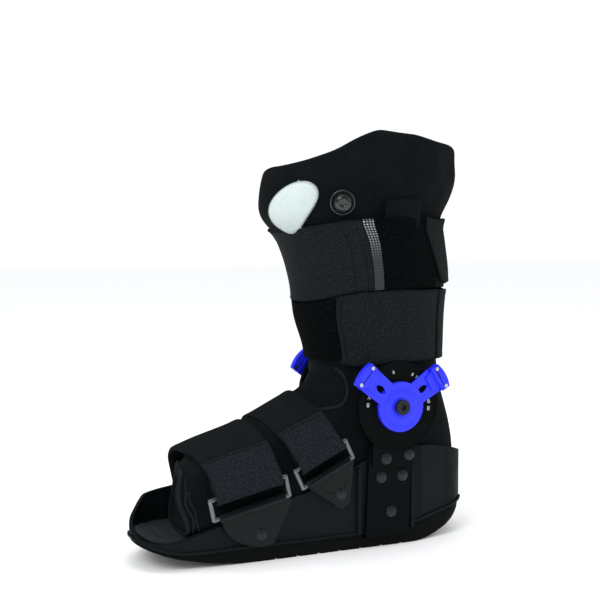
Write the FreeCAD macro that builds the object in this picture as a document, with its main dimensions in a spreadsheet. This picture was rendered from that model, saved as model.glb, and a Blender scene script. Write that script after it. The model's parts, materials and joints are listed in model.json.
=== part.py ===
import FreeCAD, Part
import math
import os
import Sketcher

# Ankle foot orthosis: a pneumatic walker boot with a range-of-motion hinge at each ankle.
# Frame: +X towards the toe, +Y towards the side with the valve and the strap rings, +Z up.
# The origin is on the floor under the middle of the boot. Millimetres.

SIZES = {
    # foot shell, in plan
    "toe_x": 141.5, "heel_x": 143, "shell_half": 48, "toe_near_y": 45, "toe_front_y": 1,
    "toe_far_x": 117, "toe_far_y": 34, "flank_x": 72, "heel_turn_x": 84, "heel_half": 37,
    "toe_radius": 29, "front_radius": 40, "far_radius": 55, "flank_radius": 120,
    "turn_radius": 60, "heel_radius": 36, "wall": 3, "welt": 1.5, "sole_inset": 1,
    # foot shell and sole, from the side
    "parting_z": 11.5, "floor": 3, "toe_rise": 21.5, "toe_sole_rise": 19, "heel_rise": 27,
    "flat_front_x": 48, "flat_rear_x": 78, "parting_front_x": 92, "parting_rear_x": 58,
    "heel_top_z": 64, "counter_z": 77, "strut_wall_z": 80, "mid_wall_z": 48, "toe_wall_z": 43,
    "footbed_thick": 5.8, "groove_width": 3, "groove_depth": 1.6, "groove_pitch": 18,
    # stirrup and hinge
    "hinge_x": 63, "hinge_z": 112, "plate": 3, "stirrup_top_z": 82, "stirrup_front_x": 36.5,
    "stirrup_rear_x": 75, "disc_radius": 35.5, "disc_thick": 2.5, "dial_thick": 1.8,
    "pivot_radius": 4, "eye_radius": 17, "upright_width": 24, "upright_in": 47.2,
    "rivet_radius": 4.7, "rivet_dome": 1.8, "shank_radius": 2, "head_radius": 5.8, "head_thick": 3,
    "nut_radius": 8, "hub_radius": 19.75, "rear_hub_y": 55.6, "front_hub_y": 57.6, "hub_thick": 1.8,
    "window_reach": 23.6, "window_arc": 6.1, "window_offset": 3.5, "arm_reach": 36, "grip_reach": 46,
    "grip_half": 10.5, "pin_radius": 1.5, "lever_angle": 54.5,
    # soft pieces
    "liner_half": 44.4, "liner_thick": 7, "strap_thick": 1.8, "strap_gap": 0.8, "leg_wall": 9,
    "forefoot_width": 54, "instep_width": 40, "calf_thick": 2, "cell_thick": 4.6,
    # strap rings
    "ring_y": 52.8, "ring_bar": 1.7, "ring_height": 15, "knuckle_out": 3.5, "knuckle_in": 1.8,
    "loop_in": 3.2, "loop_out": 4.8, "tab_thick": 2.2,
    "forefoot_ring_x": 63.5, "forefoot_ring_z": 58.5, "forefoot_ring_len": 62, "forefoot_tilt": 12,
    "instep_ring_x": 4, "instep_ring_z": 78, "instep_ring_len": 47, "instep_tilt": 25.5,
    # valve and pump bulb
    "valve_radius": 10, "valve_bore": 4.5, "knob_radius": 6.6, "bulb_radius": 15.5, "bulb_thick": 4,
    "bulb_sunk": 4.7, "patch_long": 34, "patch_high": 20.5,
}

# Elliptical sections of the leg liner: height, middle of the section, half length, half width.
LEG_SECTIONS = [
    (112, -66.0, 54.0, 43.4), (150, -68.6, 54.5, 45.4), (180, -64.8, 59.4, 48.2),
    (210, -63.5, 62.5, 50.9), (240, -57.8, 66.9, 53.4), (258, -51.8, 74.8, 55.4),
    (275, -54.3, 79.5, 57.8), (292, -56.4, 81.0, 60.0), (328, -61.5, 77.0, 60.4),
]
# The same for the heel of the foot liner.
HEEL_SECTIONS = [
    (16, -76.0, 48.0, 36.0), (45, -72.0, 61.0, 42.0), (70, -70.0, 67.0, 43.4),
    (95, -70.0, 63.0, 43.4), (150, -69.0, 56.0, 43.4),
]
# Arched sections of the foot liner: position along the foot, middle, half width, spring height, top.
INSTEP_SECTIONS = [
    (108, 5.0, 37.0, 50.0, 70.0), (92, 1.5, 41.5, 60.0, 81.5), (43, 0.0, 44.4, 67.0, 98.5),
    (7, 0.0, 44.4, 76.0, 116.0), (-30, 0.0, 43.4, 86.0, 134.0), (-63, 0.0, 43.4, 90.0, 140.0),
]

doc = FreeCAD.newDocument("AnkleFootOrthosis")
sheet = doc.addObject("Spreadsheet::Sheet", "Sizes")
for row, (alias, value) in enumerate(SIZES.items(), start=1):
    sheet.set("A%d" % row, alias)
    sheet.set("B%d" % row, str(value))
    sheet.setAlias("B%d" % row, alias)
doc.recompute()

NODES = []


class Size(float):
    """A number that remembers the sheet expression it came from."""

    def __new__(cls, value, text):
        size = float.__new__(cls, value)
        size.text = text
        return size

    def __add__(self, other):
        return Size(float(self) + float(other), "(%s + %s)" % (self.text, text_of(other)))

    def __sub__(self, other):
        return Size(float(self) - float(other), "(%s - %s)" % (self.text, text_of(other)))

    def __rsub__(self, other):
        return Size(float(other) - float(self), "(%s - %s)" % (text_of(other), self.text))

    def __mul__(self, other):
        return Size(float(self) * float(other), "(%s * %s)" % (self.text, text_of(other)))

    def __neg__(self):
        return self * -1

    __radd__ = __add__
    __rmul__ = __mul__


def text_of(number):
    return number.text if isinstance(number, Size) else "%.6f" % number


class Sheet:
    """Sheet values by alias, each one a Size."""

    def __getattr__(self, alias):
        return Size(sheet.get(alias), "Sizes." + alias)


S = Sheet()


def bind(obj, **sizes):
    """Set properties, and bind to the sheet those that come from it."""
    for name, size in sizes.items():
        setattr(obj, name, float(size))
        if isinstance(size, Size):
            obj.setExpression(name, size.text)
    return obj


def place(obj, at, rotation=None):
    """Put an object at a point, with its coordinates bound to the sheet where they come from it."""
    obj.Placement = FreeCAD.Placement(FreeCAD.Vector(*[float(c) for c in at]),
                                      rotation or FreeCAD.Rotation())
    for axis, coordinate in zip("xyz", at):
        if isinstance(coordinate, Size):
            obj.setExpression("Placement.Base." + axis, coordinate.text)
    return obj


def turned(direction):
    """The rotation that takes +Z to a direction."""
    return FreeCAD.Rotation(FreeCAD.Vector(0, 0, 1), FreeCAD.Vector(*direction))


Y_AXIS = turned((0, 1, 0))


def name_node(obj, name):
    obj.Label = name
    NODES.append(obj)
    return obj


def cylinder(name, radius, length, at, rotation=None):
    obj = doc.addObject("Part::Cylinder", name)
    bind(obj, Radius=radius, Height=length)
    return place(obj, at, rotation)


def box(name, low, high):
    obj = doc.addObject("Part::Box", name)
    bind(obj, Length=high[0] - low[0], Width=high[1] - low[1], Height=high[2] - low[2])
    return place(obj, low)


def boolean(kind, name, base, tool):
    obj = doc.addObject("Part::" + kind, name)
    obj.Base = base
    obj.Tool = tool
    return obj


def cut(name, base, *tools):
    for count, tool in enumerate(tools):
        last = count == len(tools) - 1
        base = boolean("Cut", name if last else "%s_cut%d" % (name, count), base, tool)
    return base


def common(name, base, tool):
    return boolean("Common", name, base, tool)


def fuse(name, *parts):
    obj = doc.addObject("Part::MultiFuse", name)
    obj.Shapes = list(parts)
    return obj


def compound(name, parts):
    obj = doc.addObject("Part::Compound", name)
    obj.Links = list(parts)
    return obj


def origin_plane(body, role):
    return [item for item in body.Origin.OriginFeatures if item.Role == role][0]


def fix_point(sketch, geometry, position, point):
    """Hold a sketch point at its coordinates, bound to the sheet where they come from it."""
    for kind, axis, coordinate in (("DistanceX", -2, point[0]), ("DistanceY", -1, point[1])):
        if abs(float(coordinate)) < 1e-9:
            sketch.addConstraint(Sketcher.Constraint("PointOnObject", geometry, position, axis))
            continue
        index = sketch.addConstraint(
            Sketcher.Constraint(kind, -1, 1, geometry, position, float(coordinate)))
        if isinstance(coordinate, Size):
            sketch.setExpression("Constraints[%d]" % index, coordinate.text)


def draw(sketch, outline, holes=()):
    """Draw a closed outline: each entry is a point, or (point on the arc, end point)."""
    start = outline[0]
    ends = list(outline[1:]) + [start]
    here, first = start, sketch.GeometryCount
    for entry in ends:
        bent = isinstance(entry[0], tuple)
        there = entry[1] if bent else entry
        a, b = (FreeCAD.Vector(float(p[0]), float(p[1]), 0) for p in (here, there))
        if bent:
            middle = FreeCAD.Vector(float(entry[0][0]), float(entry[0][1]), 0)
            arc = Part.Arc(a, middle, b)
            sketch.addGeometry(arc, False)
        else:
            sketch.addGeometry(Part.LineSegment(a, b), False)
        here = there
    count = sketch.GeometryCount - first
    tips = []
    for step in range(count):
        geometry = first + step
        begin = sketch.getPoint(geometry, 1)
        here = ([start] + [e[1] if isinstance(e[0], tuple) else e for e in ends])[step]
        forward = abs(begin.x - float(here[0])) < 1e-6 and abs(begin.y - float(here[1])) < 1e-6
        tips.append((geometry, (1, 2) if forward else (2, 1)))
        fix_point(sketch, geometry, 1 if forward else 2, here)
    for step, (geometry, order) in enumerate(tips):
        following, next_order = tips[(step + 1) % count]
        sketch.addConstraint(
            Sketcher.Constraint("Coincident", geometry, order[1], following, next_order[0]))
    for step, entry in enumerate(ends):
        if isinstance(entry[0], tuple):
            middle = entry[0]
            point = sketch.addGeometry(
                Part.Point(FreeCAD.Vector(float(middle[0]), float(middle[1]), 0)), True)
            sketch.addConstraint(Sketcher.Constraint("PointOnObject", point, 1, first + step))
            fix_point(sketch, point, 1, middle)
    for x, y, radius in holes:
        circle = sketch.addGeometry(
            Part.Circle(FreeCAD.Vector(float(x), float(y), 0), FreeCAD.Vector(0, 0, 1), float(radius)))
        fix_point(sketch, circle, 3, (x, y))
        index = sketch.addConstraint(Sketcher.Constraint("Radius", circle, float(radius)))
        if isinstance(radius, Size):
            sketch.setExpression("Constraints[%d]" % index, radius.text)


def pad(name, role, outline, low, depth, holes=()):
    """A body padded from an origin plane: low is where it starts along that plane's world axis."""
    body = doc.addObject("PartDesign::Body", name)
    sketch = body.newObject("Sketcher::SketchObject", name + "_sketch")
    sketch.AttachmentSupport = [(origin_plane(body, role), "")]
    sketch.MapMode = "FlatFace"
    backwards = role == "XZ_Plane"
    start = -(low + depth) if backwards else low
    sketch.AttachmentOffset = FreeCAD.Placement(FreeCAD.Vector(0, 0, float(start)), FreeCAD.Rotation())
    if isinstance(start, Size):
        sketch.setExpression("AttachmentOffset.Base.z", start.text)
    draw(sketch, outline, holes)
    feature = body.newObject("PartDesign::Pad", name + "_pad")
    feature.Profile = sketch
    bind(feature, Length=depth)
    return body


def side_pad(name, outline, low, depth, holes=()):
    return pad(name, "XZ_Plane", outline, low, depth, holes)


def upright_edges(shape, x, y):
    """The names of a shape's vertical edges that pass through (x, y)."""
    names = []
    for number, edge in enumerate(shape.Edges, start=1):
        a, b = edge.Vertexes[0].Point, edge.Vertexes[-1].Point
        if max(abs(a.x - x), abs(b.x - x), abs(a.y - y), abs(b.y - y)) < 0.01 and abs(a.z - b.z) > 1:
            names.append("Edge%d" % number)
    return names


def plan_prism(name, inset, low, depth):
    """A prism of the foot's plan outline, set in all round, with its corners rounded."""
    corners = [
        (S.toe_x - inset, S.toe_near_y - inset, S.toe_radius - inset),
        (S.toe_x - inset, -S.toe_front_y, S.front_radius - inset),
        (S.toe_far_x - inset * 0.7, -S.toe_far_y + inset * 0.8, S.far_radius - inset),
        (S.flank_x, -S.shell_half + inset, S.flank_radius - inset),
        (-S.heel_turn_x, -S.shell_half + inset, S.turn_radius - inset),
        (-S.heel_x + inset, -S.heel_half + inset * 0.8, S.heel_radius - inset),
        (-S.heel_x + inset, S.heel_half - inset * 0.8, S.heel_radius - inset),
        (-S.heel_turn_x, S.shell_half - inset, S.turn_radius - inset),
    ]
    body = pad(name, "XY_Plane", [corner[:2] for corner in corners], low, depth)
    base = body.Tip
    for number, (x, y, radius) in enumerate(corners):
        doc.recompute()
        fillet = body.newObject("PartDesign::Fillet", "%s_round%d" % (name, number))
        fillet.Base = (base, upright_edges(base.Shape, float(x), float(y)))
        bind(fillet, Radius=radius)
        base = fillet
    body.Tip = base
    return body


def ellipse_loft(name, sections, inset):
    """A loft through level ellipses, set in by a wall thickness."""
    rings = []
    for number, (height, middle, half_length, half_width) in enumerate(sections):
        ring = doc.addObject("Part::Ellipse", "%s_ring%d" % (name, number))
        bind(ring, MajorRadius=half_length - inset, MinorRadius=half_width - inset)
        rings.append(place(ring, (middle, 0, height)))
    loft = doc.addObject("Part::Loft", name)
    loft.Sections = rings
    loft.Solid = True
    return loft


def arch_loft(name, sections, grow_side, grow_top, bottom):
    """A loft along the foot through arches: upright sides under half an ellipse."""
    wires = []
    for x, middle, half, spring, top in sections:
        half, rise = half + float(grow_side), top + float(grow_top) - spring
        low = float(bottom)
        corner = [FreeCAD.Vector(x, middle + side * half, z)
                  for side, z in ((-1, low), (-1, spring), (1, spring), (1, low))]
        centre = FreeCAD.Vector(x, middle, spring)
        along = FreeCAD.Vector(0, 1, 0) if half >= rise else FreeCAD.Vector(0, 0, 1)
        across = FreeCAD.Vector(0, 0, 1) if half >= rise else FreeCAD.Vector(0, -1, 0)
        crown = Part.Ellipse(centre + along * max(half, rise), centre + across * min(half, rise), centre)
        begin = crown.parameter(corner[2])
        end = crown.parameter(corner[1])
        if end < begin:
            end += 2 * math.pi
        edges = [Part.makeLine(corner[0], corner[1]), crown.toShape(begin, end),
                 Part.makeLine(corner[2], corner[3]), Part.makeLine(corner[3], corner[0])]
        wires.append(Part.Wire(Part.__sortEdges__(edges)))
    obj = doc.addObject("Part::Feature", name)
    obj.Shape = Part.makeLoft(wires, True, False)
    return obj


def dome(name, radius, height, at, rotation):
    obj = doc.addObject("Part::Ellipsoid", name)
    bind(obj, Radius1=height, Radius2=radius, Radius3=radius)
    bind(obj, Angle1=0, Angle2=90)
    return place(obj, at, rotation)


def rivet(name, x, z, face, side, inner):
    """A domed rivet along Y: its head sits on the face, its shank ends at the inner face."""
    outward = turned((0, side, 0))
    head = dome(name + "_head", S.rivet_radius, S.rivet_dome, (x, side * face, z), outward)
    shank = cylinder(name + "_shank", S.shank_radius, face - inner + 0.01, (x, side * inner, z), outward)
    return fuse(name, head, shank)


# ---- heights where one piece sits on the next, outwards from the shell's wall ----
stirrup_in = S.shell_half + 0.1
stirrup_out = stirrup_in + S.plate
disc_out = stirrup_out + S.disc_thick
dial_out = disc_out + S.dial_thick
wall_in = S.shell_half - S.wall
tab_out = S.shell_half + 0.1 + S.tab_thick
strap_in = S.shell_half + 0.6
strap_out = strap_in + S.strap_thick
hinge = (-S.hinge_x, S.hinge_z)

STIRRUP_RIVETS = [(-50, 56), (-69, 56), (-59, 28)]
TAIL_RIVETS = [(-53, 71), (-73.5, 72.6)]
FOREFOOT_RIVET, INSTEP_RIVET = (52, 22), (-15, 46)
FAR_STRAP_RIVETS = [(59, 30), (-10, 44)]
# The plane of the shell's rim at the toe: it falls towards the toe and towards +Y.
RIM_POINT, RIM_NORMAL = (15, 50, 48), (0.258, 0.291, 0.921)


# ---- sole and shell ----
def parting(rise):
    """The line between sole and shell, or one raised above it, from toe to heel."""
    line = S.parting_z + rise
    return [(S.toe_x + 3, S.toe_rise + rise), ((118, 13.4 + rise), (S.parting_front_x, line)),
            (-S.parting_rear_x, line), (-S.heel_x + 6, S.heel_rise + rise)]


def parting_back(rise):
    """The same line, from heel to toe."""
    line = S.parting_z + rise
    return [(-S.heel_x + 6, S.heel_rise + rise), (-S.parting_rear_x, line), (S.parting_front_x, line),
            ((118, 13.4 + rise), (S.toe_x + 3, S.toe_rise + rise))]


def rocker(flat_x, tip_x, tip_z, middle_x):
    """A point of the arc that leaves the floor smoothly at flat_x and reaches the tip."""
    reach = abs(float(tip_x) - float(flat_x))
    radius = (reach ** 2 + float(tip_z) ** 2) / (2 * float(tip_z))
    return (middle_x, radius - math.sqrt(radius ** 2 - (middle_x - float(flat_x)) ** 2))


def make_outsole():
    plan = plan_prism("sole_plan", S.sole_inset, -2, 40)
    toe, heel = (S.toe_x + 3, S.toe_sole_rise), (-S.heel_x + 6, S.heel_rise - 3)
    profile = side_pad("sole_profile", [
        toe, (rocker(S.flat_front_x, *toe, 108), (S.flat_front_x, 0)), (-S.flat_rear_x, 0),
        (rocker(-S.flat_rear_x, *heel, -112), heel)] + parting_back(0), -60, 120)
    grooves = [box("groove%d" % n, (36 - n * S.groove_pitch, -60, -1),
                   (36 - n * S.groove_pitch + S.groove_width, 60, S.groove_depth)) for n in range(7)]
    channel = box("stirrup_channel", (-S.stirrup_rear_x - 1.5, -60, S.parting_z - S.plate - 0.1),
                  (-S.stirrup_front_x + 0.5, 60, 30))
    slab = common("sole_slab", plan, profile)
    return name_node(cut("outsole", slab, compound("grooves", grooves), channel), "outsole")


def make_shell():
    plan = plan_prism("shell_plan", 0, 5, 90)
    envelope = side_pad("shell_envelope", parting(0) + [
        (-S.heel_x - 1, 50), (-S.heel_x - 1, S.heel_top_z), ((-122, 72), (-97, S.counter_z)),
        (-80, S.counter_z + 1), (-36, 69), (15, S.mid_wall_z), (120, S.toe_wall_z),
        (S.toe_x + 3, 36)], -60, 120)
    hollow_plan = plan_prism("hollow_plan", S.wall, 5, 100)
    hollow_profile = side_pad("hollow_profile", parting(S.floor) + [
        (-S.heel_x + 2, 50), (-S.heel_x + 2, 110), (S.toe_x + 3, 110)], -60, 120)
    hollow = common("shell_hollow", hollow_plan, hollow_profile)
    walls = cut("shell_walls", common("shell_block", plan, envelope), hollow)
    welt_plan = plan_prism("welt_plan", -S.welt, 5, 40)
    welt_band = side_pad("welt_band", parting(0) + parting_back(2), -60, 120)
    welt_ring = cut("welt_ring", common("welt_slab", welt_plan, welt_band),
                    plan_prism("welt_inside", S.wall * 0.5, 0, 60))
    ribs = [box("rib_%s%d" % (side, number), (x, low, S.parting_z + 1), (x + 3, high, top))
            for number, (x, top) in enumerate(((-S.stirrup_rear_x - 6, 74), (-33, 64)))
            for side, low, high in (("left", S.shell_half - 1, S.shell_half + 2),
                                    ("right", -S.shell_half - 2, -S.shell_half + 1))]
    shell = fuse("shell_solid", walls, welt_ring, *ribs)
    above = doc.addObject("Part::Box", "rim_plane")
    bind(above, Length=400, Width=400, Height=200)
    tilt = turned(RIM_NORMAL)
    corner = FreeCAD.Vector(*RIM_POINT) + tilt.multVec(FreeCAD.Vector(-200, -200, 0))
    place(above, (corner.x, corner.y, corner.z), tilt)
    front = common("toe_rim", above, box("front_half", (14, -70, 0), (170, 70, 120)))
    slots = [box("strut_slot_" + side, (-S.stirrup_rear_x - 2.6, low, 5),
                 (-S.stirrup_front_x + 2, high, 90))
             for side, low, high in (("left", S.shell_half + 0.05, 60),
                                     ("right", -60, -S.shell_half - 0.05))]
    holes = []
    for x, z in STIRRUP_RIVETS + TAIL_RIVETS:
        holes.append(cylinder("shell_hole", S.shank_radius, 120, (x, -60, z), Y_AXIS))
    for (x, z), low in ((FOREFOOT_RIVET, 30), (INSTEP_RIVET, 30)):
        holes.append(cylinder("tab_hole", S.shank_radius, 60, (x, low, z), Y_AXIS))
    for x, z in FAR_STRAP_RIVETS:
        holes.append(cylinder("far_hole", S.shank_radius, 60, (x, -90, z), Y_AXIS))
    return name_node(cut("foot_shell", shell, front, *slots, compound("shell_holes", holes)), "foot_shell")


def make_footbed():
    plan = plan_prism("footbed_plan", S.wall + 0.4, 5, 60)
    low = S.floor + 0.1
    band = side_pad("footbed_band", parting(low) + parting_back(low + S.footbed_thick), -60, 120)
    return name_node(common("footbed", plan, band), "footbed")


def make_stirrup():
    holes = [(x, z, S.shank_radius) for x, z in STIRRUP_RIVETS + TAIL_RIVETS]
    low = S.parting_z - S.plate
    outline = [(-S.stirrup_front_x, low), (-S.stirrup_front_x - 3, S.stirrup_top_z),
               (-S.stirrup_rear_x - 2.5, S.stirrup_top_z), (-S.stirrup_rear_x, low)]
    left = side_pad("stirrup_left", outline, stirrup_in, S.plate, holes)
    right = side_pad("stirrup_right", outline, -stirrup_out, S.plate, holes)
    under = box("stirrup_under", (-S.stirrup_rear_x, -stirrup_out, low),
                (-S.stirrup_front_x, stirrup_out, S.parting_z - 0.05))
    return name_node(fuse("stirrup", left, right, under), "stirrup")


# ---- hinge ----
def disc_outline(tail_front, tail_rear, tail_low):
    """A disc with a tail below it, as one outline."""
    x, z = hinge
    r = S.disc_radius
    front = (tail_front, z - math.sqrt(r ** 2 - (tail_front - x) ** 2))
    rear = (tail_rear, z - math.sqrt(r ** 2 - (tail_rear - x) ** 2))
    return [front, ((x, z + r), rear), (tail_rear + 2, tail_low - 3), (tail_front, tail_low)]


def make_hinge(side, word):
    """The fixed plates of one hinge: side is 1 at +Y and -1 at -Y."""
    def low(inner, thick):
        return inner if side > 0 else -(inner + thick)
    x, z = hinge
    holes = [(x, z, S.pivot_radius)] + [(a, b, S.shank_radius) for a, b in TAIL_RIVETS]
    plate = side_pad("hinge_plate_" + word, disc_outline(-41, -79.5, 66), low(stirrup_out, S.disc_thick),
                     S.disc_thick, holes)
    name_node(plate, "hinge_plate_" + word)
    outward = turned((0, side, 0))
    blank = cylinder("dial_blank_" + word, S.disc_radius, S.dial_thick, (x, side * disc_out, z), outward)
    recess = cut("dial_recess_" + word,
                 cylinder("recess_out_" + word, S.disc_radius - 1.2, 5, (x, side * (dial_out - 0.5), z),
                          outward),
                 cylinder("recess_in_" + word, S.hub_radius + 1, 5, (x, side * (dial_out - 0.6), z),
                          outward))
    bore = cylinder("dial_bore_" + word, S.pivot_radius, 12, (x, side * (disc_out - 2), z), outward)
    name_node(cut("dial_" + word, blank, recess, bore), "dial_" + word)


def make_fasteners():
    rivets, screws, nuts, washers = [], [], [], []
    x, z = hinge
    for side, word in ((1, "left"), (-1, "right")):
        outward = turned((0, side, 0))
        for number, (a, b) in enumerate(STIRRUP_RIVETS):
            rivets.append(rivet("strut_rivet_%s%d" % (word, number), a, b, stirrup_out, side, wall_in))
        for number, (a, b) in enumerate(TAIL_RIVETS):
            rivets.append(rivet("tail_rivet_%s%d" % (word, number), a, b, disc_out, side, wall_in))
        head_y = S.front_hub_y + S.hub_thick + 0.3
        head = cylinder("screw_head_" + word, S.head_radius, S.head_thick, (x, side * head_y, z), outward)
        socket = cylinder("screw_socket_" + word, 2.4, 4, (x, side * (head_y + 1), z), outward)
        shank = cylinder("screw_shank_" + word, S.pivot_radius, head_y - 44 + 0.01, (x, side * 44, z),
                         outward)
        screws.append(cut("screw_" + word, fuse("screw_solid_" + word, head, shank), socket))
        nut = cylinder("nut_blank_" + word, S.nut_radius, 3, (x, side * 44, z), outward)
        nuts.append(cut("nut_" + word, nut, cylinder("nut_bore_" + word, S.pivot_radius, 9,
                                                     (x, side * 41, z), outward)))
        washer = cylinder("washer_blank_" + word, 12, 0.6, (x, side * (S.upright_in + 3.1), z), outward)
        washer_bore = cylinder("washer_bore_" + word, S.pivot_radius + 0.05, 9, (x, side * 48, z), outward)
        washers.append(cut("washer_" + word, washer, washer_bore))
    name_node(compound("hinge_rivets", rivets), "hinge_rivets")
    name_node(compound("pivot_screws", screws), "pivot_screws")
    name_node(compound("pivot_nuts", nuts), "pivot_nuts")
    name_node(compound("hinge_washers", washers), "hinge_washers")
    near = [rivet("forefoot_rivet", *FOREFOOT_RIVET, tab_out, 1, wall_in),
            rivet("instep_rivet", *INSTEP_RIVET, tab_out, 1, wall_in)]
    far = [rivet("far_rivet%d" % number, a, b, strap_out, -1, wall_in)
           for number, (a, b) in enumerate(FAR_STRAP_RIVETS)]
    name_node(compound("tab_rivets", near + far), "tab_rivets")


# ---- range-of-motion levers ----
def along(angle, reach, across):
    """A point of a lever: reach out from the hinge at an angle, and across it, in the side view."""
    c, s = math.cos(math.radians(angle)), math.sin(math.radians(angle))
    x, z = hinge
    return (x + reach * c - across * s, z + reach * s + across * c)


def make_lever(side, word, end, angle, hub_y):
    name = "%s_%s" % (end, word)
    outward = turned((0, side, 0))
    x, z = hinge

    def low(inner, thick):
        return inner if side > 0 else -(inner + thick)
    hub = cylinder("hub_" + name, S.hub_radius, S.hub_thick, (x, side * hub_y, z), outward)
    arm = side_pad("arm_" + name, [
        along(angle, 8, 9), along(angle, S.arm_reach, S.grip_half), along(angle, S.arm_reach, -S.grip_half),
        along(angle, 8, -9)], low(hub_y, S.hub_thick), S.hub_thick)
    middles = [along(angle, S.window_reach, offset) for offset in (-S.window_offset, S.window_offset)]
    window = common("window_" + name, *[
        cylinder("window_arc_%s%d" % (name, number), S.window_arc, 9, (a, side * (hub_y - 3), b), outward)
        for number, (a, b) in enumerate(middles)])
    bore = cylinder("lever_bore_" + name, S.pivot_radius + 0.06, 12, (x, side * (hub_y - 4), z), outward)
    name_node(cut("lever_" + name, fuse("lever_solid_" + name, hub, arm), window, bore), "lever_" + name)
    tongue_y = hub_y + S.hub_thick + 0.1
    grip = side_pad("grip_" + name, [
        along(angle, S.arm_reach + 0.6, S.grip_half), along(angle, S.grip_reach - 2, S.grip_half),
        (along(angle, S.grip_reach, 0), along(angle, S.grip_reach - 2, -S.grip_half)),
        along(angle, S.arm_reach + 0.6, -S.grip_half)], low(56, 5.6), 5.6,
        [along(angle, 41, offset) + (S.pin_radius,) for offset in (-8, 8)])
    tongue = side_pad("tongue_" + name, [
        along(angle, 30, 6), along(angle, S.arm_reach + 1.6, 8), along(angle, S.arm_reach + 1.6, -8),
        along(angle, 30, -6)], low(tongue_y, 1.6), 1.6)
    name_node(fuse("latch_" + name, grip, tongue), "latch_" + name)
    pins = [cylinder("pin_%s%d" % (name, number), S.pin_radius, 6.6,
                     (along(angle, 41, offset)[0], side * 55.8, along(angle, 41, offset)[1]), outward)
            for number, offset in enumerate((-8, 8))]
    name_node(compound("latch_pins_" + name, pins), "latch_pins_" + name)


# ---- uprights ----
def make_upright(side, word):
    t = S.plate
    bends = [(S.upright_in, 98), (S.upright_in, 145), (52.5, 215), (58.5, 272)]
    outline = [(side * y, z) for y, z in bends] + [(side * (y + t), z) for y, z in bends[::-1]]
    bar = pad("bar_" + word, "YZ_Plane", outline, -S.hinge_x - S.upright_width * 0.5, S.upright_width)
    eye = cylinder("eye_" + word, S.eye_radius, t, (hinge[0], side * S.upright_in, hinge[1]),
                   turned((0, side, 0)))
    bore = cylinder("eye_bore_" + word, S.pivot_radius + 0.06, 20, (hinge[0], side * 40, hinge[1]),
                    turned((0, side, 0)))
    upright = cut("upright_" + word, fuse("upright_solid_" + word, bar, eye), bore)
    name_node(upright, "upright_" + word)
    slope = [(side * (56.3), 252), (side * 58.5, 273), (side * 63, 273), (side * 60.8, 252)]
    sleeve = pad("sleeve_block_" + word, "YZ_Plane", slope, -S.hinge_x - S.upright_width * 0.5 - 3,
                 S.upright_width + 6)
    name_node(cut("upright_sleeve_" + word, sleeve, upright), "upright_sleeve_" + word)


# ---- rings, tabs and straps ----
def bar_frame(tilt):
    """Unit vectors of a strap ring: along its bars towards the heel, and up across them."""
    c, s = math.cos(math.radians(tilt)), math.sin(math.radians(tilt))
    return FreeCAD.Vector(-c, 0, s), FreeCAD.Vector(s, 0, c)


def bar(name, centre, direction, radius, length):
    start = centre - direction * (float(length) / 2)
    return cylinder(name, radius, length, (start.x, S.ring_y, start.z), turned(tuple(direction)))


def make_ring(name, x, z, tilt, length):
    """A rectangular wire ring: two long bars and two short ones, with round corners."""
    direction, across = bar_frame(tilt)
    top = FreeCAD.Vector(float(x), 0, float(z))
    bottom = top - across * float(S.ring_height)
    pieces = [bar(name + "_top", top, direction, S.ring_bar, length),
              bar(name + "_bottom", bottom, direction, S.ring_bar, length)]
    for number, sign in enumerate((-1, 1)):
        foot = bottom + direction * (sign * float(length) / 2)
        pieces.append(cylinder("%s_end%d" % (name, number), S.ring_bar, S.ring_height,
                               (foot.x, S.ring_y, foot.z), turned(tuple(across))))
        for level, spot in enumerate((foot, foot + across * float(S.ring_height))):
            ball = doc.addObject("Part::Sphere", "%s_ball%d%d" % (name, number, level))
            bind(ball, Radius=S.ring_bar)
            pieces.append(place(ball, (spot.x, S.ring_y, spot.z)))
    name_node(fuse(name, *pieces), name)
    return top, bottom, direction, across


def make_tab(name, outline, rivet_at, bottom, direction, length):
    """The plastic anchor of a ring: a plate on the shell's wall, rolled into a knuckle."""
    plate = side_pad(name + "_plate", outline, S.shell_half + 0.1, S.tab_thick,
                     [rivet_at + (S.shank_radius,)])
    knuckle = bar(name + "_knuckle", bottom, direction, S.knuckle_out, length)
    bore = bar(name + "_bore", bottom, direction, S.knuckle_in, length + 4)
    name_node(cut(name, fuse(name + "_solid", plate, knuckle), bore), name)


def slab(name, centre, tilt, width, low_y, high_y, low, high):
    """A block across the boot, as wide as a strap and tilted with its ring."""
    block = doc.addObject("Part::Box", name)
    bind(block, Length=width, Width=high_y - low_y, Height=high - low)
    rotation = FreeCAD.Rotation(FreeCAD.Vector(0, 1, 0), float(tilt))
    corner = centre + rotation.multVec(FreeCAD.Vector(-float(width) / 2, 0, low))
    return place(block, (corner.x, low_y, corner.z), rotation)


def make_foot_strap(name, top, tilt, width, direction, far_rivet, bands):
    """A strap over the instep: fixed to the far wall, looped round the ring's upper bar."""
    under, over, patch_in, patch_out = bands
    band = cut(name + "_band", over, under)
    reach = slab(name + "_reach", top, tilt, width, -70, 56, -46, 80)
    near_low = slab(name + "_near_low", top, tilt, width + 4, 0, 70, -70, 0)
    body = cut(name + "_body", common(name + "_width", band, reach), near_low)
    loop = bar(name + "_loop", top, direction, S.loop_out, width)
    eye = bar(name + "_eye", top, direction, S.loop_in, width + 6)
    hole = cylinder(name + "_hole", S.shank_radius, 30, (far_rivet[0], -75, far_rivet[1]), Y_AXIS)
    shell = doc.getObject("foot_shell")
    name_node(cut(name, fuse(name + "_solid", body, loop), eye, hole, shell), name)
    patch_band = cut(name + "_patch_band", patch_out, patch_in)
    patch_reach = slab(name + "_patch_reach", top, tilt, width - 2, 26, 70, 6.5, 80)
    patch = common(name.replace("strap", "hook_patch"), patch_band, patch_reach)
    name_node(patch, name.replace("strap", "hook_patch"))


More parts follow.
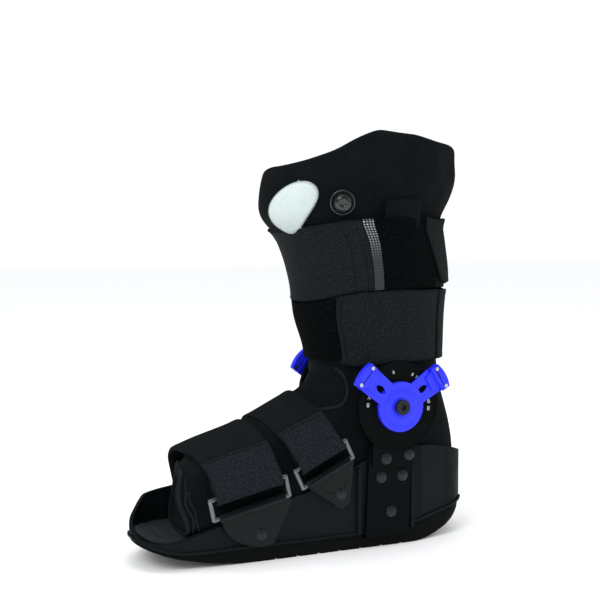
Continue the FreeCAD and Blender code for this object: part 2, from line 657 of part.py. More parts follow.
def make_foot_straps():
    side_in = strap_in - S.liner_half
    gap, thick = S.strap_gap, S.strap_thick
    sections = [row[:1] + (0.0, 44.4) + row[3:] for row in INSTEP_SECTIONS]
    bands = [arch_loft("strap_surface%d" % number, sections, side_in + step, gap + step, 20)
             for number, step in enumerate((0, thick, thick + 0.1, thick * 2 + 0.1))]
    forefoot = make_ring("forefoot_ring", S.forefoot_ring_x, S.forefoot_ring_z, S.forefoot_tilt,
                         S.forefoot_ring_len)
    instep = make_ring("instep_ring", S.instep_ring_x, S.instep_ring_z, S.instep_tilt, S.instep_ring_len)
    make_tab("forefoot_tab", [(85, 39), (81, 28), ((68, 17), (56, 13.5)), ((47, 12.6), (41, 15)), (27, 44),
                              (30, 51)], FOREFOOT_RIVET, forefoot[1], forefoot[2], S.forefoot_width)
    make_tab("instep_tab", [(15, 57), (11, 52), (-9, 38.5), ((-17, 35), (-23, 41)), (-26, 72),
                            (-21, 73)], INSTEP_RIVET, instep[1], instep[2], S.instep_width)
    make_foot_strap("forefoot_strap", forefoot[0], S.forefoot_tilt, S.forefoot_width, forefoot[2],
                    FAR_STRAP_RIVETS[0], bands)
    make_foot_strap("instep_strap", instep[0], S.instep_tilt, S.instep_width, instep[2],
                    FAR_STRAP_RIVETS[1], bands)


# ---- liner ----
def wedge(name, front_angle, rear_angle, above):
    """The side-view region over (or under) two rays from the hinge, across the whole boot."""
    x, z = (float(c) for c in hinge)
    reach = 260
    front = (x + reach, z + reach * math.tan(math.radians(front_angle)))
    rear = (x - reach, z + reach * math.tan(math.radians(rear_angle)))
    level = 420 if above else -60
    return side_pad(name, [(x, z), front, (front[0], level), (rear[0], level), rear], -90, 180)


def hinge_drum(name, radius):
    return cylinder(name, radius, 180, (hinge[0], -90, hinge[1]), Y_AXIS)


def over_footbed(name, rise):
    """The side-view region a little above the footbed, as far forward as the liner's open toe."""
    line = parting(S.floor + S.footbed_thick + 0.2 + rise)
    return common(name, side_pad(name + "_side", line + [(-160, 200), (S.toe_x + 3, 200)], -70, 140),
                  box(name + "_box", (-170, -70, 0), (114, 70, 220)))


def make_foot_liner():
    shapes = []
    for word, inset, rise in (("outer", 0, 0), ("inner", S.liner_thick, 3)):
        heel = ellipse_loft("heel_" + word, HEEL_SECTIONS, inset)
        sections = [(x + (5 if inset and x > 100 else 0),) + tuple(rest) for x, *rest in INSTEP_SECTIONS]
        instep = arch_loft("instep_" + word, sections, -float(inset), -float(inset), 16)
        shapes.append(common("foot_" + word, fuse("foot_solid_" + word, heel, instep),
                             over_footbed("bed_" + word, rise)))
    cheeks = cut("ankle_cheeks", hinge_drum("ankle_drum", 38), box("ankle_middle", (-120, -30, 60),
                                                                    (0, 30, 170)))
    zone = fuse("foot_region", wedge("foot_zone", 7, -3, False), cheeks)
    body = common("foot_liner_body", cut("foot_liner_wall", *shapes), zone)
    name_node(cut("liner_foot", body, doc.getObject("foot_shell")), "liner_foot")


def leg_zone(name, front_angle, rear_angle, radius):
    return cut(name, wedge(name + "_wedge", front_angle, rear_angle, True),
               hinge_drum(name + "_drum", radius))


def leg_spot(angle, height, depth=0.0, flare=0.0):
    """A point of the leg at an angle from the front towards +Y, under its surface by a depth, and
    the outward direction there. flare is how far that direction leans down."""
    low = max(row for row in LEG_SECTIONS if row[0] <= height)
    high = min(row for row in LEG_SECTIONS if row[0] > height)
    share = (height - low[0]) / (high[0] - low[0])
    _, middle, half_length, half_width = (a + (b - a) * share for a, b in zip(low, high))
    c, s = math.cos(math.radians(angle)), math.sin(math.radians(angle))
    out = FreeCAD.Vector(c / half_length, s / half_width, 0).normalize()
    out = (out - FreeCAD.Vector(0, 0, flare)).normalize()
    return FreeCAD.Vector(middle + half_length * c, half_width * s, height) - out * depth, out


VALVE, VALVE_OUT = leg_spot(61, 271, 0, 0.13)
BULB, BULB_OUT = leg_spot(14, 268)
PATCH_TILT = 17
# The bulb's feed runs inside the liner's wall, from the bulb to the left air cell.
FEED_ROUTE = [leg_spot(*spot, 5.2)[0] for spot in ((29.5, 263), (52, 259), (77, 256))]


def peg(name, point, direction, low, high, radius):
    """A cylinder along a direction, from low to high past a point."""
    start = point + direction * float(low)
    return cylinder(name, radius, high - low, tuple(start), turned(tuple(direction)))


def make_leg_liner():
    outer = ellipse_loft("leg_outer", LEG_SECTIONS, 0)
    inner = ellipse_loft("leg_inner", [(h + (4 if h > 300 else -4 if h < 120 else 0), m, a, b)
                                       for h, m, a, b in LEG_SECTIONS], S.leg_wall)
    top = side_pad("cuff_top", [(30, 303), ((-4, 306), (-24, 318)), ((-42, 325), (-62, 323.5)),
                                (-100, 320), (-150, 316), (-150, 380), (30, 380)], -90, 180)
    tube = cut("leg_tube", outer, inner, top)
    wall = common("leg_wall_zone", tube, leg_zone("leg_region", 33, 28, 39.5))
    cells = []
    skin = cut("cell_skin", ellipse_loft("cell_outer", LEG_SECTIONS, S.leg_wall - S.cell_thick), inner)
    for side, word, low, high in ((1, "left", 0, 90), (-1, "right", -90, 0)):
        block = box("cell_block_" + word, (-92, low, 172), (-31, high, 286))
        cells.append(name_node(common("air_cell_" + word, skin, block), "air_cell_" + word))
    bulb_hole = peg("bulb_hole", BULB, BULB_OUT, -16, 10, S.bulb_radius + 0.6)
    valve_hole = peg("valve_hole", VALVE, VALVE_OUT, -14, 10, S.valve_bore + 2.5)
    feed = {}
    for word, radius in (("run", 2), ("bore", 1), ("pocket", 2.02)):
        elbow = doc.addObject("Part::Sphere", "feed_%s_elbow" % word)
        feed[word] = [place(bind(elbow, Radius=radius), tuple(FEED_ROUTE[1]))]
        for number, (start, end) in enumerate(zip(FEED_ROUTE, FEED_ROUTE[1:])):
            step = end - start
            feed[word].append(cylinder("feed_%s%d" % (word, number), radius, step.Length, tuple(start),
                                       turned(tuple(step))))
    name_node(cut("liner_leg", wall, *cells, bulb_hole, valve_hole, *feed["pocket"]), "liner_leg")
    name_node(cut("air_tube", fuse("feed_line", *feed["run"]), fuse("feed_bore", *feed["bore"]), cells[0],
                  bulb_hole), "air_tube")


def make_valve_and_pump():
    flange = peg("collar_flange", VALVE, VALVE_OUT, 0.9, 3.6, S.valve_radius)
    barrel = peg("collar_barrel", VALVE, VALVE_OUT, -8.6, 1.2, S.valve_bore + 2.4)
    bore = peg("collar_bore", VALVE, VALVE_OUT, -20, 20, S.valve_bore + 0.08)
    rest = fuse("collar_solid", flange, barrel)
    name_node(cut("valve_collar", rest, bore), "valve_collar")
    stem = peg("knob_stem", VALVE, VALVE_OUT, -6, 6.2, S.valve_bore)
    cap = peg("knob_cap", VALVE, VALVE_OUT, 5.8, 6.8, S.knob_radius)
    crown_at = VALVE + VALVE_OUT * 6.8
    crown = dome("knob_crown", S.knob_radius, 2.4, tuple(crown_at), turned(tuple(VALVE_OUT)))
    name_node(fuse("valve_knob", stem, cap, crown), "valve_knob")
    name_node(peg("pump_bulb", BULB, BULB_OUT, -S.bulb_sunk - S.bulb_thick, -S.bulb_sunk, S.bulb_radius),
              "pump_bulb")
    skin = cut("patch_skin", ellipse_loft("patch_surface", LEG_SECTIONS, -1.4), doc.getObject("leg_outer"))
    level = FreeCAD.Vector(0, 0, 1).cross(BULB_OUT)
    tilt = math.radians(PATCH_TILT)
    long_way = level * math.cos(tilt) + FreeCAD.Vector(0, 0, math.sin(tilt))
    oval = doc.addObject("Part::Ellipsoid", "patch_oval")
    bind(oval, Radius1=30, Radius2=S.patch_long, Radius3=S.patch_high)
    place(oval, tuple(BULB), FreeCAD.Rotation(long_way, BULB_OUT.cross(long_way), BULB_OUT, "ZXY"))
    name_node(common("bulb_patch", skin, oval), "bulb_patch")


# The line where the two calf straps meet, from the front to the back.
MIDDLE_EDGE = ((60, 171), (-2, 192.5), (-20, 199), (-35, 202.5), (-62, 204), (-150, 202))


def make_calf_straps():
    grow_side = 5.1
    surfaces = []
    sections = [(h, m, a + 0.6, b + grow_side) for h, m, a, b in LEG_SECTIONS]
    for number, step in enumerate((0, S.calf_thick, S.calf_thick + 0.1, S.calf_thick + 1.3)):
        surfaces.append(ellipse_loft("calf_surface%d" % number, sections, -step if number else 0))
    clear = hinge_drum("disc_clearance", S.disc_radius + 1.5)
    ring = cut("calf_ring", surfaces[1], surfaces[0])
    raised = cut("calf_raised", surfaces[3], surfaces[2])
    lower = side_pad("lower_zone", [(60, 144)] + list(MIDDLE_EDGE) + [(-150, 145), (-62, 146)],
                     -90, 180)
    raised_edge = [(x, z + 1.5) for x, z in MIDDLE_EDGE[::-1]]
    upper = side_pad("upper_zone", [(60, 232), (14, 243.5), (0, 248), (-16, 252.5), (-37, 257),
                                    (-62, 258.5), (-150, 259.5)] + raised_edge, -90, 180)
    uprights = [doc.getObject("upright_left"), doc.getObject("upright_right")]
    name_node(cut("lower_calf_strap", common("lower_band", ring, lower), clear, *uprights),
              "lower_calf_strap")
    sleeves = [doc.getObject("upright_sleeve_left"), doc.getObject("upright_sleeve_right")]
    name_node(cut("upper_calf_strap", common("upper_band", ring, upper), *sleeves, *uprights),
              "upper_calf_strap")
    panels = (("upper_loop_panel", upper, (-88, 0, 190), (-16, 90, 300)),
              ("lower_loop_panel", lower, (-14, 0, 140), (30, 90, 300)),
              ("upper_strap_pad", upper, (-114, 0, 150), (-89, 90, 300)),
              ("lower_strap_end", lower, (-114, 0, 140), (-89, 90, 300)))
    for name, zone, low, high in panels:
        strip = common(name + "_strip", common(name + "_zone", raised, zone), box(name + "_box", low, high))
        name_node(cut(name, strip, sleeves[0], uprights[0]), name)


make_outsole()
make_shell()
make_footbed()
make_stirrup()
for hinge_side, hinge_word in ((1, "left"), (-1, "right")):
    make_hinge(hinge_side, hinge_word)
    make_upright(hinge_side, hinge_word)
    make_lever(hinge_side, hinge_word, "front", 93.5 - S.lever_angle, S.front_hub_y)
    make_lever(hinge_side, hinge_word, "rear", 93.5 + S.lever_angle, S.rear_hub_y)
make_fasteners()
make_foot_straps()
make_foot_liner()
make_leg_liner()
make_valve_and_pump()
make_calf_straps()
doc.recompute()

failed = [item.Label for item in doc.Objects if "Invalid" in item.State or "Error" in item.State]
if failed:
    raise RuntimeError("failed: " + ", ".join(failed))
os.makedirs("parts", exist_ok=True)
for node in NODES:
    shape = node.Shape
    if shape.isNull() or not shape.isValid():
        raise RuntimeError(node.Label + " is null or not valid")
    size = shape.optimalBoundingBox()
    print("%-26s %2d solids %9.0f mm3  x %6.1f %6.1f  y %6.1f %6.1f  z %6.1f %6.1f" % (
        node.Label, len(shape.Solids), shape.Volume, size.XMin, size.XMax, size.YMin, size.YMax,
        size.ZMin, size.ZMax))
    shape.exportStep("parts/%s.step" % node.Label)
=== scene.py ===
import json
import math

import bpy
import numpy as np
from mathutils import Matrix, Vector, noise
from mathutils.bvhtree import BVHTree


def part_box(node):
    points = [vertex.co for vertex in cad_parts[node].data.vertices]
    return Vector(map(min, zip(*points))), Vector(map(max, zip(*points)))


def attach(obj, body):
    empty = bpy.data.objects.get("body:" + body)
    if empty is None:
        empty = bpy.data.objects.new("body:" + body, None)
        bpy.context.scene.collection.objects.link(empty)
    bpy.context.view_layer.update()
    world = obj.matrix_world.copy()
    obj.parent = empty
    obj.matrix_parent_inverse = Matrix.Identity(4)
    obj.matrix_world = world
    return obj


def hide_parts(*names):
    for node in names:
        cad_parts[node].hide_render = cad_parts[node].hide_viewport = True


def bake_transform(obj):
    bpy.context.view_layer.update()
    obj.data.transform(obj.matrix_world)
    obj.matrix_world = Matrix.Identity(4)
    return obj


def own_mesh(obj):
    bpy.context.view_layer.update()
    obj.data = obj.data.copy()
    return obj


# The looks of a pneumatic walker boot: liner, straps, pads, stitching, valve, dial numbers and
# every material. Lengths are in millimetres until a mesh is made, which is in metres.
# Lights, floor and camera are placed in metres.

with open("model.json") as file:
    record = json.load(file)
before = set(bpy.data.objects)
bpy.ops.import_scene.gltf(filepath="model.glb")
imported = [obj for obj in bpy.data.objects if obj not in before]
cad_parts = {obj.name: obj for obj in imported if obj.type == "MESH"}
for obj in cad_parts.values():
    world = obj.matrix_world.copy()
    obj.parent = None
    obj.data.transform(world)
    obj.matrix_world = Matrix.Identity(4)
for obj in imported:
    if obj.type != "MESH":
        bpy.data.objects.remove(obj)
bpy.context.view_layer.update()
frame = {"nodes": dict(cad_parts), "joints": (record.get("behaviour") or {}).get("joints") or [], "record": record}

MM = 0.001
JOINTS = {joint["name"]: joint for joint in frame["joints"]}


def joint_point(name):
    """A joint's place in millimetres."""
    return Vector(JOINTS[name]["pos_m"]) / MM


HINGE = joint_point("ankle_hinge")
UP, LEFT = Vector((0, 0, 1)), Vector((0, 1, 0))

# Elliptical sections of the leg: height, middle, half length, half width.
LEG_SECTIONS = [
    (112, -66.0, 54.0, 43.4), (150, -68.6, 54.5, 45.4), (180, -64.8, 59.4, 48.2),
    (210, -63.5, 62.5, 50.9), (240, -57.8, 66.9, 53.4), (258, -51.8, 74.8, 55.4),
    (275, -54.3, 79.5, 57.8), (292, -56.4, 81.0, 60.0), (328, -61.5, 77.0, 60.4),
]
# Arched sections of the foot: position along the foot, middle, half width, spring height, top.
INSTEP_SECTIONS = [
    (-63, 0.0, 43.4, 90.0, 140.0), (-30, 0.0, 43.4, 86.0, 134.0), (7, 0.0, 44.4, 76.0, 116.0),
    (43, 0.0, 44.4, 67.0, 98.5), (92, 1.5, 41.5, 60.0, 81.5), (108, 5.0, 37.0, 50.0, 70.0),
]
# The liner's outline from the side, between foot and leg: shin and instep, then calf, heel and sole.
SHIN_LINE = [(20, 110.6), (7, 116), (-4, 121), (-11, 127.5), (-14, 134), (-14.6, 142), (-14, 150),
             (-11, 161), (-7.6, 172), (-5.4, 180)]
HEEL_LINE = [(20, 21.6), (-40, 21.6), (-95, 22), (-118, 26), (-130, 38), (-135, 54), (-136, 70),
             (-133.5, 90), (-129, 110), (-125, 130), (-123, 150), (-123.4, 165), (-124.2, 180)]
BEND = (20.0, 175.0)
LEG_WALL, FOOT_WALL = 9.4, 7.2
SOLE_LEVEL = 21.6

TUBE_SIDES = 10
# A strap's hem is full to the first distance from its edge, and gone at the second.
HEM_FADE = (3.5, 5.0)
# A stitch from end to end: place along it, then its thickness and rise as shares of its radius.
STITCH_PROFILE = ((-0.5, 0.25, -0.25), (-0.3, 0.9, 0.5), (0.0, 1.0, 0.8), (0.3, 0.9, 0.5),
                  (0.5, 0.25, -0.25))
STITCH_SIDES = 6


# ---- curves and tables ----
def read_table(rows, key):
    """The row at any key, on a smooth curve through the table's rows."""
    rows = sorted(rows)
    keys = [row[0] for row in rows]
    key = min(max(key, keys[0]), keys[-1])
    i = min(max(int(np.searchsorted(keys, key)) - 1, 0), len(rows) - 2)
    span = keys[i + 1] - keys[i]
    t = (key - keys[i]) / span

    def slope(j, c):
        lo, hi = max(j - 1, 0), min(j + 1, len(rows) - 1)
        return (rows[hi][c] - rows[lo][c]) / (keys[hi] - keys[lo]) * span
    values = []
    for c in range(1, len(rows[0])):
        a, b = rows[i][c], rows[i + 1][c]
        values.append((2 * t ** 3 - 3 * t ** 2 + 1) * a + (t ** 3 - 2 * t ** 2 + t) * slope(i, c)
                      + (3 * t ** 2 - 2 * t ** 3) * b + (t ** 3 - t ** 2) * slope(i + 1, c))
    return values


def smooth_line(points, steps=8):
    """A Catmull-Rom curve through points, as a list of vectors."""
    points = [Vector(p) for p in points]
    last = len(points) - 1
    result = []
    for i in range(last):
        p = [points[min(max(i + k, 0), last)] for k in (-1, 0, 1, 2)]
        for step in range(steps):
            t = step / steps
            result.append(0.5 * (2 * p[1] + (p[2] - p[0]) * t
                                 + (2 * p[0] - 5 * p[1] + 4 * p[2] - p[3]) * t ** 2
                                 + (3 * p[1] - p[0] - 3 * p[2] + p[3]) * t ** 3))
    return result + [points[-1]]


def ease(value, low, high):
    """0 before low, 1 after high, smooth between."""
    t = min(max((value - low) / (high - low), 0.0), 1.0)
    return t * t * (3 - 2 * t)


def line_at(points, key):
    """A straight-line reading of (key, value) points, keys rising."""
    return float(np.interp(key, [p[0] for p in points], [p[1] for p in points]))


def leg_point(angle, z, grow_long=0.0, grow_wide=0.0):
    """A point of the leg at an angle from the front towards +Y, in degrees."""
    middle, half_long, half_wide = read_table(LEG_SECTIONS, z)
    a = math.radians(angle)
    return Vector((middle + (half_long + grow_long) * math.cos(a), (half_wide + grow_wide) * math.sin(a), z))


def leg_out(angle, z):
    """The outward direction of the leg at an angle."""
    _, half_long, half_wide = read_table(LEG_SECTIONS, z)
    a = math.radians(angle)
    return Vector((math.cos(a) / half_long, math.sin(a) / half_wide, 0)).normalized()


# ---- meshes ----
def add_piece(name, points, faces, material, body, uvs=None):
    """A smooth mesh piece from points in millimetres, which rides on a body."""
    mesh = bpy.data.meshes.new(name)
    mesh.from_pydata([Vector(p) * MM for p in points], [], faces)
    mesh.polygons.foreach_set("use_smooth", [True] * len(mesh.polygons))
    if uvs:
        layer = mesh.uv_layers.new(name="cloth_mm")
        for loop in mesh.loops:
            layer.data[loop.index].uv = uvs[loop.vertex_index]
    mesh.materials.append(material)
    mesh.update()
    obj = bpy.data.objects.new(name, mesh)
    bpy.context.scene.collection.objects.link(obj)
    if body:
        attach(obj, body)
    return obj


def sweep(stations, closed):
    """Quads between rings of points that all have the same count; closed joins the last to the first."""
    count = len(stations[0])
    points = [p for ring in stations for p in ring]
    faces = []
    for i in range(len(stations) if closed else len(stations) - 1):
        j = (i + 1) % len(stations)
        for k in range(count):
            m = (k + 1) % count
            faces.append((i * count + k, i * count + m, j * count + m, j * count + k))
    if not closed:
        faces.append(tuple(range(count))[::-1])
        faces.append(tuple((len(stations) - 1) * count + k for k in range(count)))
    return points, faces


def round_turn(count):
    """Angles of one full turn, in radians."""
    return [2 * math.pi * k / count for k in range(count)]


def tube(name, path, radius, material, body):
    """A round tube along a path, thinner at both ends."""
    path = [Vector(p) for p in path]
    last = len(path) - 1
    rings = []
    normal = UP
    for i, point in enumerate(path):
        along = (path[min(i + 1, last)] - path[max(i - 1, 0)]).normalized()
        normal = (normal - along * normal.dot(along)).normalized()
        side = along.cross(normal)
        size = radius * min(1.0, 0.45 + min(i, last - i) * 0.3)
        rings.append([point + normal * math.cos(a) * size + side * math.sin(a) * size
                      for a in round_turn(TUBE_SIDES)])
    points, faces = sweep(rings, False)
    return add_piece(name, points, faces, material, body)


def lathe(name, profile, centre, axis, material, body, sides=48, ring=False):
    """A turned piece: profile is (radius, height along the axis), from its middle outwards and back.
    A ring has a hole through it, and its profile is a closed loop."""
    axis = Vector(axis).normalized()
    across = axis.cross(UP).normalized() if abs(axis.z) < 0.9 else axis.cross(LEFT).normalized()
    other = axis.cross(across)
    rings = [[Vector(centre) + axis * height
              + (across * math.cos(a) + other * math.sin(a)) * max(radius, 0.02)
              for a in round_turn(sides)] for radius, height in profile]
    points, faces = sweep(rings, ring)
    return add_piece(name, points, faces, material, body)


def grid_normals(grid):
    """Unit normals of a grid of points: along the first index, then across."""
    array = np.array([[tuple(p) for p in row] for row in grid])
    normals = np.cross(np.gradient(array, axis=0), np.gradient(array, axis=1))
    return normals / np.maximum(np.linalg.norm(normals, axis=2, keepdims=True), 1e-9)


def ribbon(name, grid, thick, material, body, hem=0.0, flip=False):
    """A strap with round edges from a grid of its middle surface: rows along it, points across it.
    hem is how much thicker its two long edges are. UVs are its length and width in millimetres."""
    normals = grid_normals(grid) * (-1 if flip else 1)
    last = len(grid[0]) - 1
    widths = np.cumsum([0] + [(grid[0][j + 1] - grid[0][j]).length for j in range(last)])
    run, stations, uvs = 0.0, [], []
    for i, row in enumerate(grid):
        run += (row[last // 2] - grid[i - 1][last // 2]).length if i else 0.0
        end = min(1.0, 0.35 + 0.65 * min(i, len(grid) - 1 - i))
        outer, inner = [], []
        for width, point, normal in zip(widths, row, normals[i]):
            margin = min(width, widths[-1] - width)
            at_edge = margin < 0.01
            half = thick / 2 * end * (0.5 if at_edge else 1.0)
            extra = hem * (1 - ease(margin, *HEM_FADE)) * end * (0.4 if at_edge else 1.0)
            outer.append(point + Vector(normal) * (half + extra))
            inner.append(point - Vector(normal) * half)
        stations.append(outer + inner[::-1])
        row_uvs = [(run, width) for width in widths]
        uvs += row_uvs + row_uvs[::-1]
    points, faces = sweep(stations, False)
    return add_piece(name, points, faces, material, body, uvs)


def across_steps(count, edge=0.5, width=50.0):
    """Fractions across a strap, with close steps at both edges."""
    inner = [edge / width + (1 - 2 * edge / width) * k / count for k in range(count + 1)]
    hems = [3.4 / width, 5.2 / width]
    fractions = sorted([0.0, 1.0] + inner + hems + [1 - h for h in hems])
    return [f for i, f in enumerate(fractions) if not i or f - fractions[i - 1] > 0.15 / width]


def stitches(name, lines, material, body, pitch=3.4, length=2.3, radius=0.34, lift=0.1):
    """Rows of raised stitches. Each line is a list of (point, outward normal)."""
    points, faces = [], []
    for line in lines:
        spots = [spot for spot, _ in line]
        runs = np.cumsum([0] + [(spots[i + 1] - spots[i]).length for i in range(len(spots) - 1)])
        for number in range(int(runs[-1] // pitch)):
            at = (number + 0.5) * pitch
            i = min(int(np.searchsorted(runs, at)) - 1, len(spots) - 2)
            t = (at - runs[i]) / max(runs[i + 1] - runs[i], 1e-6)
            centre = spots[i].lerp(spots[i + 1], t)
            out = line[i][1].lerp(line[i + 1][1], t).normalized()
            along = (spots[i + 1] - spots[i]).normalized()
            side = out.cross(along).normalized()
            rings = []
            for reach, size, rise in STITCH_PROFILE:
                middle = centre + along * reach * length + out * (lift + rise * radius)
                rings.append([middle + (side * math.cos(a) + out * math.sin(a)) * radius * size
                              for a in round_turn(STITCH_SIDES)])
            stitch_points, stitch_faces = sweep(rings, False)
            faces += [tuple(len(points) + i for i in face) for face in stitch_faces]
            points += stitch_points
    return add_piece(name, points, faces, material, body)


def grid_line(grid, across, lift, start=0, end=None, flip=False):
    """The (point, normal) line along a grid at one fraction across it, lifted off its middle surface."""
    normals = grid_normals(grid) * (-1 if flip else 1)
    last = len(grid[0]) - 1
    low = min(int(across * last), last - 1)
    line = []
    for i in range(start, len(grid) if end is None else end):
        normal = Vector(normals[i][low])
        line.append((grid[i][low].lerp(grid[i][low + 1], across * last - low) + normal * lift, normal))
    return line


def grid_cross_line(grid, row, lift, flip=False):
    """The (point, normal) line across a grid at one row, a point in from each edge."""
    normals = grid_normals(grid) * (-1 if flip else 1)
    return [(grid[row][j] + Vector(normals[row][j]) * lift, Vector(normals[row][j]))
            for j in range(1, len(grid[0]) - 1)]


# ---- materials ----
class Look:
    """A Principled material, with short ways to add nodes to it."""

    def __init__(self, name, colour, roughness, **sockets):
        self.material = bpy.data.materials.new(name)
        self.material.use_nodes = True
        self.tree = self.material.node_tree
        self.shader = self.tree.nodes["Principled BSDF"]
        self.shader.inputs["Base Color"].default_value = (*colour, 1)
        self.shader.inputs["Roughness"].default_value = roughness
        for socket, value in sockets.items():
            self.shader.inputs[socket.replace("_", " ")].default_value = value
        self.material.diffuse_color = (*colour, 1)
        self.colour = colour

    def node(self, kind, **settings):
        made = self.tree.nodes.new("ShaderNode" + kind)
        for key, value in settings.items():
            if key in made.inputs:
                if hasattr(value, "is_output"):
                    self.tree.links.new(value, made.inputs[key])
                else:
                    made.inputs[key].default_value = value
            else:
                setattr(made, key, value)
        return made

    def coords(self, kind="Object", scale=(1, 1, 1)):
        """Coordinates in millimetres: Object for moulded pieces, UV for straps."""
        source = self.node("TexCoord").outputs[kind]
        unit = 1.0 if kind == "UV" else 1 / MM
        mapping = self.node("Mapping", Vector=source, Scale=tuple(s * unit for s in scale))
        return mapping.outputs["Vector"]

    def noise(self, coords, size, detail=2.0, rough=0.5):
        made = self.node("TexNoise", Vector=coords, Scale=1 / size, Detail=detail, Roughness=rough)
        return made.outputs["Fac"]

    def cells(self, coords, size, feature="F1"):
        made = self.node("TexVoronoi", Vector=coords, Scale=1 / size, feature=feature)
        return made.outputs["Distance"]

    def sine(self, coords, axis, period):
        """A wave along one axis, from 0 to 1."""
        value = self.node("SeparateXYZ", Vector=coords).outputs[axis]
        turn = self.math("MULTIPLY", value, 2 * math.pi / period)
        wave = self.math("SINE", turn)
        return self.math("MULTIPLY_ADD", wave, 0.5, 0.5)

    def math(self, operation, *values):
        made = self.tree.nodes.new("ShaderNodeMath")
        made.operation = operation
        for socket, value in zip(made.inputs, values):
            if hasattr(value, "is_output"):
                self.tree.links.new(value, socket)
            else:
                socket.default_value = value
        return made.outputs[0]

    def ramp(self, value, low, high, out_low=0.0, out_high=1.0):
        made = self.node("MapRange", Value=value)
        for key, number in (("From Min", low), ("From Max", high), ("To Min", out_low), ("To Max", out_high)):
            made.inputs[key].default_value = number
        return made.outputs[0]

    def tint(self, factor, colour):
        """Mix the base colour towards another by a factor."""
        made = self.tree.nodes.new("ShaderNodeMix")
        made.data_type = "RGBA"
        current = self.shader.inputs["Base Color"]
        if current.is_linked:
            self.tree.links.new(current.links[0].from_socket, made.inputs[6])
        else:
            made.inputs[6].default_value = current.default_value
        made.inputs[7].default_value = (*colour, 1)
        self.tree.links.new(factor, made.inputs[0])
        self.tree.links.new(made.outputs[2], current)
        return self

    def mottle(self, value, low, high, most, colour):
        """Tint towards a colour, from none where a value is low to a factor of most where it is high."""
        return self.tint(self.ramp(value, low, high, 0.0, most), colour)

    def rough(self, value, least, most):
        """Roughness between two limits as a value goes from 0.3 to 0.7."""
        self.tree.links.new(self.ramp(value, 0.3, 0.7, least, most), self.shader.inputs["Roughness"])

    def bump(self, height, depth):
        """Raise the surface by a height from 0 to 1, times a depth in millimetres."""
        made = self.node("Bump", Height=height, Strength=1.0, Distance=depth * MM)
        current = self.shader.inputs["Normal"]
        if current.is_linked:
            self.tree.links.new(current.links[0].from_socket, made.inputs["Normal"])
        self.tree.links.new(made.outputs["Normal"], current)
        return self


def moulded(name, colour, roughness, grain, depth, specular):
    """Moulded plastic or rubber: a fine pebbled grain, cloudy gloss and faint scuffs."""
    look = Look(name, colour, roughness, Specular_IOR_Level=specular)
    where = look.coords()
    look.bump(look.cells(where, grain, "SMOOTH_F1"), depth)
    cloud = look.noise(where, 22, 4, 0.6)
    look.rough(cloud, roughness - 0.08, min(1.0, roughness + 0.1))
    scuffs = look.noise(look.coords(scale=(1, 1, 7)), 9, 6, 0.7)
    look.mottle(scuffs, 0.62, 0.9, 0.35, tuple(min(1.0, c * 3.2 + 0.006) for c in colour))
    return look.material


def enamel(name, colour, roughness, metallic=0.0, specular=0.5):
    """A painted or coated metal with a faint orange peel."""
    look = Look(name, colour, roughness, Metallic=metallic, Specular_IOR_Level=specular)
    where = look.coords()
    look.bump(look.noise(where, 0.9, 2), 0.03)
    look.rough(look.noise(where, 9, 4), roughness - 0.07, roughness + 0.12)
    look.mottle(look.noise(where, 2.4, 6, 0.75), 0.66, 0.85, 0.4,
              tuple(min(1.0, c * 2.2 + 0.01) for c in colour))
    return look.material


def brushed(name, colour, roughness):
    """Bare metal with fine scratches along it."""
    look = Look(name, colour, roughness, Metallic=1.0)
    where = look.coords(scale=(6, 6, 0.5))
    scratch = look.noise(where, 1.2, 5, 0.7)
    look.rough(scratch, roughness - 0.08, roughness + 0.14)
    look.bump(scratch, 0.02)
    return look.material


def cloth(name, colour, light, weave=0.9, fuzz=0.25, depth=0.12, sheen=0.008, kind="Object"):
    """Brushed foam laminate: a fine knit, fuzz and slow variation in shade."""
    look = Look(name, colour, 0.9, Specular_IOR_Level=0.06, Sheen_Weight=sheen, Sheen_Roughness=0.5)
    where = look.coords(kind)
    knit = look.cells(where, weave)
    fluff = look.noise(where, 0.5, 4, 0.7)
    look.bump(knit, depth)
    look.bump(fluff, fuzz)
    look.mottle(fluff, 0.45, 0.8, 0.6, light)
    look.mottle(look.noise(where, 30, 3), 0.4, 0.75, 0.35, light)
    look.mottle(look.noise(where, 2.0, 5, 0.75), 0.54, 0.72, 0.55, tuple(c * 1.7 for c in light))
    look.rough(fluff, 0.82, 1.0)
    return look.material


def woven(name, colour, light, rib_axis="X", rib=1.25, pick=0.8):
    """Strap webbing: ribs one way, picks the other, and small flecks of lighter yarn."""
    look = Look(name, colour, 0.78, Specular_IOR_Level=0.1, Sheen_Weight=0.006, Sheen_Roughness=0.4)
    where = look.coords("UV")
    other = "Y" if rib_axis == "X" else "X"
    ribs = look.sine(where, rib_axis, rib)
    picks = look.sine(where, other, pick)
    crossings = look.math("MULTIPLY", ribs, picks)
    yarn = look.math("MULTIPLY_ADD", crossings, 0.6, look.math("MULTIPLY", ribs, 0.4))
    look.bump(yarn, 0.16)
    look.bump(look.noise(where, 0.45, 3, 0.7), 0.06)
    look.mottle(yarn, 0.35, 1.0, 0.5, light)
    broad = look.noise(look.coords("UV", scale=(0.25, 1, 1) if rib_axis == "Y" else (1, 0.25, 1)), 7, 4, 0.6)
    look.mottle(broad, 0.45, 0.8, 0.25, light)
    flecks = look.noise(where, 1.7, 4, 0.75)
    look.mottle(flecks, 0.52, 0.68, 0.8, tuple(c * 2.0 for c in light))
    shade = look.noise(look.coords("UV", scale=(1.31, 0.83, 1)), 1.9, 4, 0.75)
    look.mottle(shade, 0.5, 0.64, 0.8, tuple(c * 0.35 for c in colour))
    return look.material


